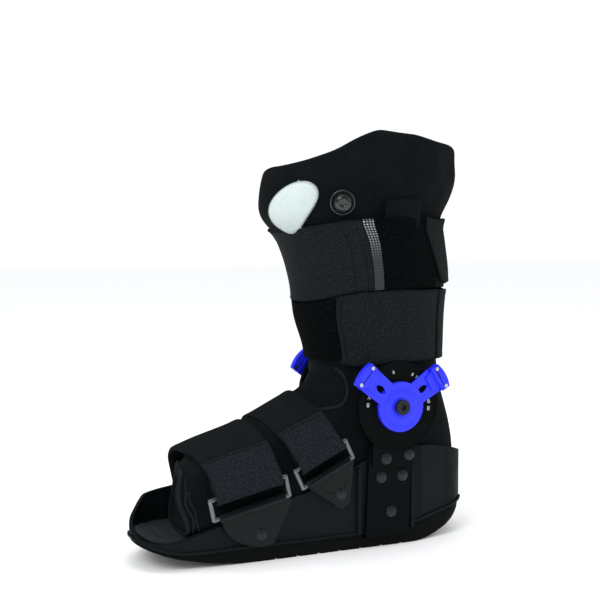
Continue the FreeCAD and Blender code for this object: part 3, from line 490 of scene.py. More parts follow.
def pile(name, colour, light):
    """Loop pile: deep matt tufts that swallow the light."""
    look = Look(name, colour, 1.0, Specular_IOR_Level=0.03, Sheen_Weight=0.003, Sheen_Roughness=0.6)
    where = look.coords("UV")
    tufts = look.cells(where, 0.9)
    curl = look.noise(where, 0.6, 4, 0.8)
    look.bump(tufts, 0.3)
    look.bump(curl, 0.3)
    look.mottle(curl, 0.5, 0.85, 0.7, light)
    look.mottle(look.noise(where, 2.2, 5, 0.75), 0.54, 0.7, 0.7, tuple(c * 2.0 for c in light))
    return look.material


def mesh_with_painted_reflection(name, height):
    """An open mesh over reflective tape: silver dots where the tape shows through, with a painted reflection that
    is brightest near its upper end and fades further down.
    """
    look = Look(name, (0.012, 0.016, 0.018), 0.5, Specular_IOR_Level=0.4)
    where = look.coords("UV")
    dots = look.math("MULTIPLY", look.sine(where, "X", 2.1), look.sine(where, "Y", 2.1))
    spot = look.ramp(dots, 0.45, 0.7)
    # Painted reflection: the dots are painted brightest near the upper end and fade towards the lower part.
    level = look.node("SeparateXYZ", Vector=where).outputs["Y"]
    fade = look.ramp(level, height * 0.45, height * 0.97, 0.05, 1.0)
    flicker = look.ramp(look.noise(where, 1.6, 3), 0.3, 0.65, 0.35, 1.0)
    look.tint(look.math("MULTIPLY", look.math("MULTIPLY", spot, fade), flicker), (0.62, 0.72, 0.74))
    look.bump(dots, 0.35)
    return look.material


def knit_white(name):
    """Off-white knitted cover, with fine wales and a little soil in blotches."""
    look = Look(name, (0.52, 0.59, 0.585), 0.85, Specular_IOR_Level=0.1, Sheen_Weight=0.02)
    where = look.coords()
    wales = look.math("MULTIPLY", look.sine(where, "X", 0.8), look.sine(where, "Z", 1.0))
    look.bump(wales, 0.12)
    look.bump(look.noise(where, 1.4, 4, 0.7), 0.15)
    look.mottle(look.noise(where, 3.5, 5, 0.7), 0.4, 0.8, 0.45, (0.66, 0.73, 0.72))
    look.mottle(look.noise(where, 12, 4, 0.6), 0.5, 0.8, 0.35, (0.46, 0.52, 0.52))
    return look.material


def gloss(name, colour, roughness, light, specular=0.5):
    """Injection-moulded glossy plastic with slight flow marks."""
    look = Look(name, colour, roughness, Specular_IOR_Level=specular, Coat_Weight=0.15, Coat_Roughness=0.2)
    where = look.coords()
    look.rough(look.noise(where, 6, 4), roughness - 0.06, roughness + 0.1)
    look.bump(look.noise(where, 1.5, 3), 0.025)
    look.mottle(look.noise(where, 10, 3), 0.35, 0.75, 0.3, light)
    return look.material


BLACK, SHADE = (0.0026, 0.0038, 0.0044), (0.0068, 0.0094, 0.0105)
shell_plastic = moulded("shell_plastic", (0.0044, 0.0066, 0.0076), 0.52, 0.75, 0.05, 0.09)
sole_rubber = moulded("sole_rubber", (0.0028, 0.0034, 0.0036), 0.75, 0.9, 0.08, 0.08)
tab_plastic = moulded("tab_plastic", (0.003, 0.0045, 0.0052), 0.3, 0.8, 0.012, 0.16)
dial_plastic = moulded("dial_plastic", (0.0016, 0.0024, 0.0027), 0.5, 0.5, 0.02, 0.05)
black_metal = enamel("black_metal", (0.002, 0.003, 0.0035), 0.5, 0.0, 0.05)
rivet_metal = enamel("rivet_metal", (0.0065, 0.0095, 0.0105), 0.38, 0.0, 0.3)
ring_metal = enamel("ring_metal", (0.15, 0.175, 0.18), 0.34, 0.75, 0.5)
upright_metal = enamel("upright_metal", (0.003, 0.004, 0.0045), 0.45, 0.0, 0.12)
bright_steel = brushed("bright_steel", (0.62, 0.64, 0.65), 0.28)
nylon = gloss("nylon", (0.55, 0.55, 0.5), 0.5, (0.65, 0.64, 0.6))
bladder = gloss("bladder", (0.1, 0.11, 0.12), 0.35, (0.16, 0.17, 0.18))
blue_plastic = gloss("blue_plastic", (0.014, 0.022, 0.84), 0.42, (0.024, 0.036, 0.96), 0.32)
valve_plastic = gloss("valve_plastic", (0.012, 0.0145, 0.015), 0.16, (0.02, 0.024, 0.025))
liner_cloth = cloth("liner_cloth", BLACK, SHADE)
lining_cloth = cloth("lining_cloth", (0.004, 0.0055, 0.006), (0.011, 0.0145, 0.0155), 1.2, 0.35, 0.2)
binding_cloth = cloth("binding_cloth", (0.006, 0.0085, 0.0095), (0.018, 0.024, 0.027), 0.6, 0.1, 0.1)
insole_cloth = cloth("insole_cloth", (0.013, 0.0175, 0.019), (0.028, 0.036, 0.039), 0.8, 0.2, 0.15)
pad_cloth = cloth("pad_cloth", (0.0062, 0.0098, 0.0098), (0.012, 0.0175, 0.0175), 0.7, 0.12, 0.1)
calf_webbing = woven("calf_webbing", (0.0042, 0.0068, 0.0078), (0.0098, 0.0145, 0.0165))
upper_webbing = woven("upper_webbing", (0.0046, 0.0072, 0.0086), (0.0105, 0.0155, 0.018), "Y", 1.15, 0.9)
foot_webbing = woven("foot_webbing", (0.0066, 0.0092, 0.0125), (0.0135, 0.0185, 0.0245), "Y", 1.0, 0.9)
strap_pile = pile("strap_pile", (0.0011, 0.0018, 0.002), (0.0052, 0.0074, 0.008))
dark_strap = cloth("dark_strap", (0.0042, 0.006, 0.0068), (0.0085, 0.0118, 0.013), 0.8, 0.15, 0.12, 0.005,
                   "UV")
thread = cloth("thread", (0.003, 0.0035, 0.0038), (0.012, 0.015, 0.016), 0.4, 0.05, 0.05)
white_knit = knit_white("white_knit")
white_print = gloss("white_print", (0.62, 0.66, 0.62), 0.55, (0.72, 0.74, 0.72))

LOOKS = {
    "sole_rubber": sole_rubber, "shell_plastic": shell_plastic, "tab_plastic": tab_plastic,
    "dial_plastic": dial_plastic, "black_metal": black_metal, "upright_metal": upright_metal,
    "rivet_metal": rivet_metal, "ring_metal": ring_metal, "bright_steel": bright_steel, "nylon": nylon,
    "blue_plastic": blue_plastic, "liner_fabric": liner_cloth, "bed_fabric": insole_cloth,
    "webbing": calf_webbing, "hook_pile": strap_pile, "strap_pad": pad_cloth, "white_knit": white_knit,
    "bladder": bladder, "valve_plastic": valve_plastic,
}


ROUNDED = [("foot_shell", 0.5), ("outsole", 0.4), ("lever", 0.3), ("latch_front", 0.5), ("latch_rear", 0.5),
           ("hinge_plate", 0.3), ("dial", 0.25), ("stirrup", 0.3), ("forefoot_tab", 0.4), ("instep_tab", 0.4)]


def dress_cad_nodes():
    """Each CAD node that shows gets its slot's material, and the larger ones softly broken edges."""
    for row in frame["record"]["subparts"]:
        obj = frame["nodes"][row["node"]]
        obj.data.materials.clear()
        obj.data.materials.append(LOOKS[row["material_slot"]])
        for start, width in ROUNDED:
            if row["node"].startswith(start):
                weld = obj.modifiers.new("weld", "WELD")
                weld.merge_threshold = 0.002 * MM
                bevel = obj.modifiers.new("broken_edge", "BEVEL")
                bevel.width, bevel.segments, bevel.limit_method = width * MM, 2, "ANGLE"
                bevel.angle_limit = math.radians(40)
                bevel.use_clamp_overlap = True


# ---- liner ----
def liner_stations():
    """Sections of the liner from toe to leg: (front point, back point, middle, half width, squareness)."""
    shin = smooth_line([(x, z, 0) for x, z in SHIN_LINE])
    heel = smooth_line([(x, z, 0) for x, z in HEEL_LINE])

    def at_angle(line, angle):
        turns = [math.degrees(math.atan2(p.y - BEND[1], p.x - BEND[0])) % 360 for p in line]
        order = np.argsort(-np.array(turns))
        keys = [-turns[i] for i in order]
        return (float(np.interp(-angle, keys, [line[i].x for i in order])),
                float(np.interp(-angle, keys, [line[i].y for i in order])))
    stations = []
    for x in np.linspace(108, BEND[0], INSTEP_STATIONS):
        middle, half, _, top = read_table(INSTEP_SECTIONS, x)
        stations.append(((x, top), (x, SOLE_LEVEL + 5 * ease(x, 92, 140)), middle, half, 5.0, 2.5))
    for angle in np.linspace(268, 182, 42):
        share = (270 - angle) / 90
        half = line_at([(0, 44.4), (0.25, 43.5), (0.6, 43.6), (0.8, 45.0), (1.0, 47.7)], share)
        stations.append((at_angle(shin, angle), at_angle(heel, angle), 0.0, half,
                         5 - 3 * ease(share, 0.1, 0.9), 2.5 - 0.5 * ease(share, 0.0, 0.6)))
    return stations


def cuff_top(x, far):
    """Height of the cuff's upper edge at a place along the boot, lower in front on the far side."""
    if far:
        return line_at([(-150, 316), (-100, 319.5), (-73, 319), (-46, 310.5), (-20, 305), (6, 301.6),
                        (16, 298), (30, 295)], x)
    return line_at([(-150, 316), (-100, 320), (-79, 324.3), (-62, 325), (-42, 326.8), (-33, 324),
                    (-24, 319.5), (-12, 312), (-4, 308), (6, 303.6), (16, 300), (30, 297)], x)


def section_ring(station, inset):
    """One closed section: rounder towards the shin, squarer towards the sole."""
    front, back, middle, half, square_back, square_front = station
    a, b = Vector((front[0], 0, front[1])), Vector((back[0], 0, back[1]))
    centre, reach = (a + b) / 2, (a - b).length / 2 - inset
    along = (a - b).normalized()
    ring = []
    for turn in round_turn(COLUMNS):
        c, s = math.cos(turn), math.sin(turn)
        power = square_front if c > 0 else square_back
        radius = (abs(c / reach) ** power + abs(s / (half - inset)) ** power) ** (-1 / power)
        ring.append(centre + along * radius * c + LEFT * (middle + radius * s))
    return ring


# The liner's mesh: points round a ring, rings up the leg and along the instep, and steps over a rim.
COLUMNS, LEG_LEVELS, INSTEP_STATIONS = 84, 38, 23
RIM_STEPS = (0.15, 0.5, 0.85)
CUFF_BULGE, BACK_BULGE = 6.8, 2.6
STRAP_BANDS = [(145, 204), (200, 258)]


def cuff_bulge(turn, z):
    """How far the cuff's padding stands out: most round the pump, and a little at the back."""
    round_pump = ((turn + 180) % 360 - 190) / 38
    at_back = (turn % 360 - 180) / 40
    bulge = CUFF_BULGE * math.exp(-(round_pump ** 2) - ((z - 269) / 19) ** 2)
    return bulge + BACK_BULGE * math.exp(-(at_back ** 2) - ((z - 288) / 15) ** 2)


def liner_surface(inset_foot, inset_leg, lift_ends):
    """The rings of the liner's outer or inner face, from the toe opening to the cuff."""
    rings = []
    for number, station in enumerate(liner_stations()):
        share = ease(number, 26, 60)
        inset = inset_foot + (inset_leg - inset_foot) * share
        ring = section_ring(station, inset)
        fade = ease(station[0][0], 62, 108) if number < INSTEP_STATIONS else 0.0
        for k, point in enumerate(ring):
            turn = (360 * k / COLUMNS + 180) % 360 - 180
            slant = 8.5 * math.exp(-((turn - 78) / 27) ** 2) - 13.0 * math.exp(-((turn + 75) / 62) ** 2)
            point.x += fade * (slant - lift_ends)
        rings.append(ring)
    for level in range(LEG_LEVELS + 1):
        ring = []
        for k in range(COLUMNS):
            turn = 360 * k / COLUMNS
            spot = leg_point(turn, 312)
            share = ease(spot.y, -22, 12)
            top = (cuff_top(spot.x, True) * (1 - share) + cuff_top(spot.x, False) * share) - lift_ends
            z = BEND[1] + 1.5 + (top - BEND[1] - 1.5) * level / LEG_LEVELS
            grow = cuff_bulge(turn, z) - inset_leg
            ring.append(leg_point(turn, z, grow, grow))
        rings.append(ring)
    return rings


def rim_rings(outer, inner, bulge, direction):
    """Rounded rim between an outer and an inner ring that bulges along a direction."""
    return [[a.lerp(b, step) + direction * bulge * math.sin(math.pi * step) ** 0.6
             for a, b in zip(outer, inner)] for step in RIM_STEPS]


def soft_fold(point):
    """Small folds in the liner: creases at the front of the ankle, and slow dimples all over."""
    crease = math.exp(-((point.z - 127) / 17) ** 2) * ease(point.x, -62, -20) * (1 - ease(point.x, 10, 30))
    wave = math.sin((point.z - 0.55 * point.x) * 0.62 + 1.3 * noise.noise(point * 0.03))
    dimple = noise.noise(point * 0.022) + 0.5 * noise.noise(point * 0.06 + Vector((7, 3, 1)))
    return crease * wave * 1.5 + dimple * 0.9


def make_liner():
    """The padded bootie in one piece: open at the toe and the cuff, with a rounded rim at both."""
    outer = liner_surface(0.0, 0.0, 4.0)
    inner = liner_surface(FOOT_WALL, LEG_WALL, 4.0)
    rings = outer + rim_rings(outer[-1], inner[-1], 4.6, UP) + inner[::-1]
    rings += rim_rings(inner[0], outer[0], 3.6, Vector((1, 0, 0)))
    points, faces = sweep(rings, True)
    faces = [face[::-1] for face in faces]
    liner = add_piece("liner", points, faces, liner_cloth, None)
    liner.data.materials.append(lining_cloth)
    rim_end = len(outer) + len(RIM_STEPS)
    lined = range((rim_end - 1) * COLUMNS, (rim_end + len(inner)) * COLUMNS)
    for face in liner.data.polygons:
        if face.vertices[0] in lined:
            face.material_index = 1
    weights = [1.0 if i >= rim_end * COLUMNS else pin_weight(point) for i, point in enumerate(points)]
    normals = [vertex.normal.copy() for vertex in liner.data.vertices]
    for vertex, normal, point, weight in zip(liner.data.vertices, normals, points, weights):
        if weight < 1.0:
            vertex.co += normal * soft_fold(point) * (1 - weight) * MM
    simulate(liner, weights, 4.0, 3.2)
    add_subdivision(liner)
    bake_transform(liner)
    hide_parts("liner_foot", "liner_leg")
    return liner, outer


def pin_weight(point):
    """How firmly a point of the liner is held: by the straps, the shell and the hinge, and at both rims."""
    held = 0.0
    for low, high in STRAP_BANDS:
        held = max(held, ease(point.z, low - 1, low + 5) * (1 - ease(point.z, high - 5, high + 1)))
    heel_rise = 0.25 * max(0.0, -point.x)
    in_shell = 1 - ease(point.z, 52 + heel_rise, 66 + heel_rise)
    at_hinge = ease(abs(point.y), 36, 42) * (1 - ease(point.z, 138, 150))
    under_strap = (1 - ease(point.z, 128, 136)) * ease(point.x, -44, -34)
    return min(1.0, max(held, in_shell, at_hinge, under_strap))


SWELL_FRAMES = 20
SWELL = {"quality": 4, "mass": 0.3, "tension_stiffness": 18, "compression_stiffness": 18,
         "shear_stiffness": 6, "bending_stiffness": 1.2, "use_pressure": True}


def simulate(obj, weights, pressure, limit):
    """Swell a padded piece with cloth simulation, hold its pinned points and cap how far the rest move."""
    rest = np.array([vertex.co for vertex in obj.data.vertices])
    pins = obj.vertex_groups.new(name="held")
    for index, weight in enumerate(weights):
        pins.add([index], weight, "REPLACE")
    cloth_modifier = obj.modifiers.new("swell", "CLOTH")
    settings = cloth_modifier.settings
    for key, value in SWELL.items():
        setattr(settings, key, value)
    settings.uniform_pressure_force = pressure
    settings.vertex_group_mass = "held"
    settings.effector_weights.gravity = 0
    cloth_modifier.collision_settings.use_collision = False
    cloth_modifier.point_cache.frame_start = 1
    cloth_modifier.point_cache.frame_end = SWELL_FRAMES
    scene = bpy.context.scene
    for number in range(1, SWELL_FRAMES + 1):
        scene.frame_set(number)
    swollen = obj.evaluated_get(bpy.context.evaluated_depsgraph_get()).to_mesh()
    after = np.array([vertex.co for vertex in swollen.vertices])
    scene.frame_set(1)
    obj.modifiers.remove(cloth_modifier)
    step = after - rest
    length = np.linalg.norm(step, axis=1, keepdims=True)
    reach = limit * MM
    step *= np.minimum(1.0, reach * np.tanh(length / reach) / np.maximum(length, 1e-9))
    obj.data.vertices.foreach_set("co", (rest + step).astype(np.float32).ravel())
    obj.data.update()


def baked(obj):
    """A new mesh of an object as its modifiers leave it."""
    graph = bpy.context.evaluated_depsgraph_get()
    return bpy.data.meshes.new_from_object(obj.evaluated_get(graph))


def add_subdivision(obj):
    """Subdivide the mesh itself once, and keep the result as the object's mesh."""
    modifier = obj.modifiers.new("smooth", "SUBSURF")
    modifier.levels = modifier.render_levels = 1
    made = baked(obj)
    obj.modifiers.remove(modifier)
    obj.data = made


# ---- calf straps ----
CALF_GROW = (0.6, 5.1)


def calf_grid(low, high, start, end, columns, lift, steps, wobble=0.35):
    """The middle surface of a band round the leg, from angle start to angle end in degrees.
    low and high give the heights of its edges at a place along the boot."""
    grid = []
    for i in range(columns + 1):
        fraction = i / columns
        row = []
        for step in steps:
            angle = start(step) + (end(step) - start(step)) * fraction
            x = leg_point(angle, 200).x
            z = low(x) + (high(x) - low(x)) * step
            point = leg_point(angle, z, CALF_GROW[0] + lift, CALF_GROW[1] + lift)
            ripple = wobble * (noise.noise(Vector((point.x * 0.03, point.y * 0.03, point.z * 0.015 + lift)))
                               + 0.6 * math.sin(math.radians(angle) * 5 + z * 0.02))
            outward = Vector((math.cos(math.radians(angle)), math.sin(math.radians(angle)), 0))
            row.append(point + outward * ripple)
        grid.append(row)
    return grid


def constant(value):
    """The same angle at every step across a strap."""
    return lambda step: value


def edge(*points):
    """The height of a strap's edge, as a function of the place along the boot."""
    return lambda x: line_at(points, x)


def raised(line, rise):
    """A strap's edge moved up by a distance."""
    return lambda x: line(x) + rise


LOWER_LOW = edge((-117, 146), (-75, 147), (-45, 146), (-25, 144.3), (-14, 146), (60, 144))
MIDDLE = edge((-150, 202), (-62, 204), (-35, 202.5), (-20, 199), (-2, 192.5), (60, 171))
UPPER_HIGH = edge((-150, 259.5), (-62, 258.5), (-37, 257), (-16, 252.5), (0, 248), (14, 243.5), (60, 232))
STEPS = across_steps(12, 0.5, 55)


def calf_piece(name, low, high, start, end, columns, lift, thick, material, replaces=None,
               hem=0.0, wobble=0.35, steps=None):
    """One band or panel of a calf strap, and its grid."""
    grid = calf_grid(low, high, start, end, columns, lift, steps or STEPS, wobble)
    piece = ribbon(name, grid, thick, material, "leg", hem=hem)
    if replaces:
        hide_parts(replaces)
    return piece, grid


def make_lower_calf_strap():
    """The lower strap: a band behind, a pile closure in front, webbing over both and a ribbed end."""
    high = raised(MIDDLE, -0.6)
    calf_piece("lower_calf_strap_band", LOWER_LOW, high, constant(36), constant(335), 110, 1.0, 2.0,
               calf_webbing, "lower_calf_strap", 0.25)
    calf_piece("lower_closure_pile", raised(LOWER_LOW, 0.8), raised(high, -0.4), constant(-30),
               lambda step: 43 + 3 * step, 40, 1.3, 1.9, strap_pile, "lower_loop_panel")
    _, over = calf_piece("lower_calf_strap_over", raised(LOWER_LOW, -0.5), raised(high, 0.2),
                         lambda step: 39.5 + 3 * step, constant(129), 46, 2.9, 1.7, calf_webbing,
                         None, 0.2, 0.5)
    calf_piece("lower_calf_strap_end", LOWER_LOW, high, constant(126.5), constant(142.5), 10, 4.2, 1.4,
               calf_webbing, "lower_strap_end", 0.3, 0.2)
    lines = [grid_line(over, 0.035, 1.0), grid_line(over, 0.965, 1.0),
             grid_cross_line(over, 2, 0.95), grid_cross_line(over, 44, 0.95)]
    stitches("lower_calf_strap_thread", lines, thread, "leg")


def make_upper_calf_strap():
    """The upper strap: webbing in front, a mesh band over reflective tape with a painted reflection, a pile panel
    and a stiff pad behind.
    """
    low = raised(MIDDLE, 0.5)
    calf_piece("upper_calf_strap_band", low, UPPER_HIGH, constant(64), constant(338), 100, 1.0, 2.0,
               dark_strap, "upper_calf_strap", 0.2)
    _, front = calf_piece("upper_calf_strap_front", raised(low, -0.4), raised(UPPER_HIGH, 0.3),
                          constant(-27), lambda step: 71 + 2 * step, 54, 1.5, 1.9, upper_webbing,
                          None, 0.2, 0.4)
    calf_piece("reflective_band", low, raised(UPPER_HIGH, 0.4), lambda step: 70 + 2 * step,
               lambda step: 76.5 + 2 * step, 6, 2.9, 0.9, mesh_with_painted_reflection("mesh_with_painted_reflection", 53),
               None, 0.0, 0.3)
    calf_piece("upper_closure_pile", raised(low, 0.3), raised(UPPER_HIGH, 0.2), lambda step: 76 + 2 * step,
               constant(124), 30, 2.6, 1.5, strap_pile, "upper_loop_panel", 0.0, 0.3)
    pad, _ = calf_piece(
        "upper_strap_flap", edge((-117, 208), (-98, 205.5), (-88, 214)), edge((-103, 256), (-84, 262)),
        lambda step: line_at([(0, 134), (0.14, 126), (0.76, 113.5), (1, 115)], step),
        lambda step: 152.5 - 19 * step, 12, 4.4, 2.6, pad_cloth, "upper_strap_pad", 0.35, 0.15,
        across_steps(10, 0.6, 52))
    lines = [grid_line(front, 0.05, 0.98), grid_line(front, 0.95, 0.98), grid_cross_line(front, 51, 0.95),
             grid_cross_line(front, 46, 0.95)]
    stitches("upper_calf_strap_thread", lines, thread, "leg")


SLEEVE_LEVEL, SLEEVE_FLARE, SLEEVE_THREAD = 58.55, 2.2, 2.2


def make_sleeve(side, word):
    """The fabric sleeve over the top end of an upright, with its stitched border."""
    low, high = (Vector(corner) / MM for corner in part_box("upright_sleeve_" + word))
    slope = SLEEVE_FLARE / (high.z - low.z)
    flip = side < 0
    grid = []
    for i in range(15):
        x = low.x - 0.8 + (high.x - low.x + 1.6) * i / 14
        grid.append([Vector((x, side * (SLEEVE_LEVEL + slope * (z - low.z)), z))
                     for z in (low.z - 3 + (high.z - low.z + 3.6) * j / 10 for j in range(11))])
    sleeve = ribbon("upright_sleeve_cover_" + word, grid, 4.6, liner_cloth, "leg", flip=flip)
    add_subdivision(sleeve)
    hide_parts("upright_sleeve_" + word)
    lines = [grid_line(grid, 0.9, SLEEVE_THREAD, 1, 14, flip)]
    lines += [grid_cross_line(grid, row, SLEEVE_THREAD, flip) for row in (1, 13)]
    stitches("upright_sleeve_thread_" + word, lines, binding_cloth, "leg", 2.4, 1.7, 0.26)


# ---- foot straps ----
RING_HEIGHT = 15.0
# How many rows of a foot strap lie over the arch, before its loop round the ring.
ARCH_ROWS = 46
# Each foot strap's width, and how much further its stitched end is pushed out from the run under it.
FOOT_STRAPS = {"forefoot": (54.0, 1.4), "instep": (40.0, 2.2)}


def strap_bar(name):
    """A ring's upper bar: its place, the direction along it towards the heel, and the one up across it."""
    along = Vector(JOINTS[name]["axis"]).normalized()
    across = along.cross(LEFT)
    if across.z < 0:
        across = -across
    return joint_point(name) + across * RING_HEIGHT, along, across


def arch_point(top, along, offset, height_share, grow_side, grow_top):
    """A point of the foot's arch at an offset along the bar. height_share runs from -1, the far
    side's foot, through 0, the crown, to 1, the near side's foot."""
    x = top.x - offset * abs(along.x)
    for _ in range(6):
        _, _, spring, crown = read_table(INSTEP_SECTIONS, x)
        half, rise = 44.4 + grow_side, crown + grow_top - spring
        share = abs(height_share)
        side = 1 if height_share > 0 else -1
        if share <= 0.62:
            turn = math.pi / 2 * (1 - share / 0.62)
            y, z = half * math.cos(turn), spring + rise * math.sin(turn)
        else:
            y, z = half, spring - (share - 0.62) / 0.38 * (spring - 26)
        x = top.x - (offset - along.z * (z - top.z)) / abs(along.x)
    return Vector((x, side * y, z))


def foot_strap_grids(name, width):
    """Middle surfaces of a foot strap: over the foot and down to the ring, and back up over itself."""
    top, along, across = strap_bar(name)
    offsets = [(0.5 - step) * width * -1 for step in across_steps(9, 0.5, width)]

    def arch_row(share, *grow):
        return [arch_point(top, along, offset, share, *grow) for offset in offsets]

    def bar_row(y, lift):
        return [Vector((top.x, 0, top.z)) + along * offset + across * lift + LEFT * y for offset in offsets]
    turns = [math.radians(turn) for turn in range(180, 361, 20)]
    loop = [(52.8 + 4.0 * math.cos(turn), 4.0 * math.sin(turn)) for turn in turns]
    under = [arch_row(share, 5.0, 1.7) for share in np.linspace(-0.97, 0.40, ARCH_ROWS)]
    loop = [(50.0, 22), (49.2, 14), (48.9, 6)] + loop + [(56.5, 3.5), (55.2, 8)]
    under += [bar_row(*spot) for spot in loop]
    over = [arch_row(share, 7.4, 3.9) for share in np.linspace(0.60, 0.335, 12)]
    return under, over


def smooth_rows(grid, rounds):
    """Even out a grid along its length, its ends held."""
    array = np.array([[tuple(p) for p in row] for row in grid])
    for _ in range(rounds):
        array[1:-1] = array[1:-1] * 0.5 + (array[:-2] + array[2:]) * 0.25
    return [[Vector(p) for p in row] for row in array]


def make_foot_strap(name, width, swell):
    """One foot strap as a single run of webbing, looped round its ring, and its stitched end."""
    under, over = foot_strap_grids(name + "_ring_swing", width)
    run = smooth_rows(under[:ARCH_ROWS + 3], 2) + under[ARCH_ROWS + 3:]
    joined = run + over
    joined = joined[:ARCH_ROWS + 11] + smooth_rows(joined[ARCH_ROWS + 11:], 12)
    base = ribbon(name + "_strap_run", joined[:ARCH_ROWS + 6], 1.7, dark_strap, "foot", hem=0.2)
    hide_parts(name + "_strap")
    end_grid = [row[::-1] for row in joined[ARCH_ROWS + 5:]]
    end_grid = [[point + Vector(out) * swell * ease(number, 3, 8) for point, out in zip(row, normals)]
                for number, (row, normals) in enumerate(zip(end_grid, grid_normals(end_grid)))]
    end = ribbon(name + "_strap_end", end_grid, 1.8, foot_webbing, "foot", hem=0.25)
    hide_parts(name + "_hook_patch")
    last = len(end_grid)
    lines = [grid_line(end_grid, 0.05, 1.05, 9), grid_line(end_grid, 0.95, 1.05, 9),
             grid_cross_line(end_grid, last - 2, 1.0)]
    stitches(name + "_strap_thread", lines, thread, "foot")


# ---- liner trim ----
def make_liner_trim(tree, outer):
    """The piped edge of the ankle pad, the bound edge of the toe opening and its loose inner folds."""
    def on_liner(x, z, lift):
        return cling(tree, Vector((x, 30, z)), LEFT, lift)
    arc = smooth_line([(-23, 141, 0), (-27, 137, 0), (-30, 130, 0), (-30, 121, 0), (-25, 113, 0),
                       (-15, 110, 0), (0, 109.5, 0)], 6)
    spots = [on_liner(p.x, p.y, 0.4) for p in arc]
    piping = tube("ankle_piping", [spot for spot, normal in spots if normal != LEFT], 1.5, binding_cloth,
                  None)
    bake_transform(piping)
    rim = outer[0]
    for number, (back, lift, radius) in enumerate(((0.0, 0.0, 1.7), (4.6, 0.5, 1.1), (8.2, 0.6, 1.0))):
        path = []
        for k in range(6, len(rim) - 6):
            point = rim[k]
            away = Vector((0, point.y, point.z - 48)).normalized()
            ripple = 0.9 * math.sin(k * 0.9 + number * 2) * ease(number, 0, 1)
            path.append(point + Vector((1.2 - back + ripple, 0, 0)) + away * lift)
        fold = tube("toe_binding_%d" % number, path, radius, binding_cloth, "foot")


def make_strap_pad():
    """The soft pad under the forefoot strap, which shows in front of it."""
    top, along, _ = strap_bar("forefoot_ring_swing")
    grid = [[arch_point(top, along, u, share, 3.0, 0.9) for u in np.linspace(-29 + 2.5 * abs(share), 6, 10)]
            for share in np.linspace(-0.75, 0.16, 26)]
    pad = ribbon("forefoot_strap_pad", grid, 2.2, liner_cloth, "foot")


# ---- valve and pump patch ----
def surface_tree(obj):
    return BVHTree.FromPolygons([v.co.copy() for v in obj.data.vertices],
                                [tuple(p.vertices) for p in obj.data.polygons])


def cling(tree, point, direction, lift=0.0):
    """Where a line that comes in along a direction meets a surface, lifted off it, and the normal."""
    spot, normal, _, _ = tree.ray_cast((point + direction * 25) * MM, -direction, 50 * MM)
    if spot is None:
        return point + direction * lift, direction
    if normal.dot(direction) < 0:
        normal = -normal
    return spot / MM + normal * lift, normal


# The oval patch: its middle as an angle and a height, its reach in both, and how far it leans.
PATCH_ANGLE, PATCH_HEIGHT = 29, 267.7
PATCH_TURN, PATCH_RISE, PATCH_LEAN = 16.8, 16.8, 8.5


def patch_spot(tree, share, turn, lift):
    """A point of the oval patch: share runs from 0 at its middle to 1 at its rim."""
    angle = PATCH_ANGLE + PATCH_TURN * share * math.cos(turn)
    z = PATCH_HEIGHT + share * (PATCH_RISE * math.sin(turn) + PATCH_LEAN * math.cos(turn))
    return cling(tree, leg_point(angle, z), leg_out(angle, z), lift)


def make_patch(tree):
    """The knitted cover over the pump bulb: a low dome with an overlocked rim."""
    middle, out = patch_spot(tree, 0, 0, 0.5)
    turns = round_turn(72)
    shares = [(0.04, -0.8), (0.5, -0.8), (0.96, -0.6), (1.0, 0.6), (0.995, 1.5)]
    shares += [(share, 1.9 + 2.8 * (1 - share ** 2) ** 0.8)
               for share in (0.96, 0.88, 0.76, 0.62, 0.46, 0.3, 0.16, 0.04)]
    rings = [[patch_spot(tree, share, turn, lift)[0] for turn in turns] for share, lift in shares]
    points, faces = sweep(rings, False)
    patch = add_piece("pump_patch", points, faces, white_knit, "leg")
    add_subdivision(patch)
    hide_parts("bulb_patch")
    lines = []
    for k, turn in enumerate(round_turn(120)):
        reach = math.hypot(28 * math.cos(turn), 19 * math.sin(turn))
        span = (1.2 + 0.35 * noise.noise(Vector((k * 0.9, 2, 5)))) / reach
        lines.append([patch_spot(tree, 1 + step * span, turn, 1.7 - 0.5 * step) for step in (-1, 1)])
    rim = stitches("pump_patch_overlock", lines, white_knit, "leg", 1.5, 2.4, 0.3, 0.1)
    for piece in (patch, rim):
        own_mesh(piece)


VALVE_ANGLE, VALVE_HEIGHT = 61, 271


def make_valve():
    """The air valve: a moulded collar with a rolled lip, and its dimpled release knob."""
    out = -Vector(JOINTS["valve_press"]["axis"])
    centre = leg_point(VALVE_ANGLE, VALVE_HEIGHT)
    collar = lathe("air_valve_collar", [
        (4.8, -3), (6.8, -3), (6.9, 0.4), (9.3, 0.6), (9.85, 1.1), (10, 2.0), (9.9, 2.9), (9.4, 3.5),
        (8.8, 3.6), (8.3, 3.2), (8.1, 2.3), (7.2, 1.9), (5.4, 1.8), (4.8, 1.5)],
        centre, out, valve_plastic, "leg", 56, True)
    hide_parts("valve_collar")
    knob = lathe("air_valve_knob", [
        (0, -5.6), (4.3, -5.6), (4.3, 4.6), (5.6, 4.9), (6.4, 5.4), (6.6, 6.1), (6.5, 6.9), (6.1, 7.5),
        (5.9, 7.55), (5.7, 7.8), (5.0, 8.4), (4.0, 8.8), (3.0, 8.9), (2.6, 8.6), (2.2, 8.3), (1.2, 8.2),
        (0, 8.2)],
        centre, out, valve_plastic, "valve_button", 56)
    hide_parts("valve_knob")
    for piece in (collar, knob):
        add_subdivision(piece)


# ---- hinge details ----
DIAL_NUMBERS = [("40", 5), ("30", 18), ("0", 80), ("0", 117), ("10", 127), ("30", 163), ("40", 175),
                ("50", 187)]


# A dial's outer level from the middle plane, and how far inside it the numbers lie.
DIAL_LEVEL, NUMBER_DEPTH = 55.4, 0.46
NUMBER_SIZE, NUMBER_RADIUS = 3.5, 27.2
HUB_LEVEL = 59.4


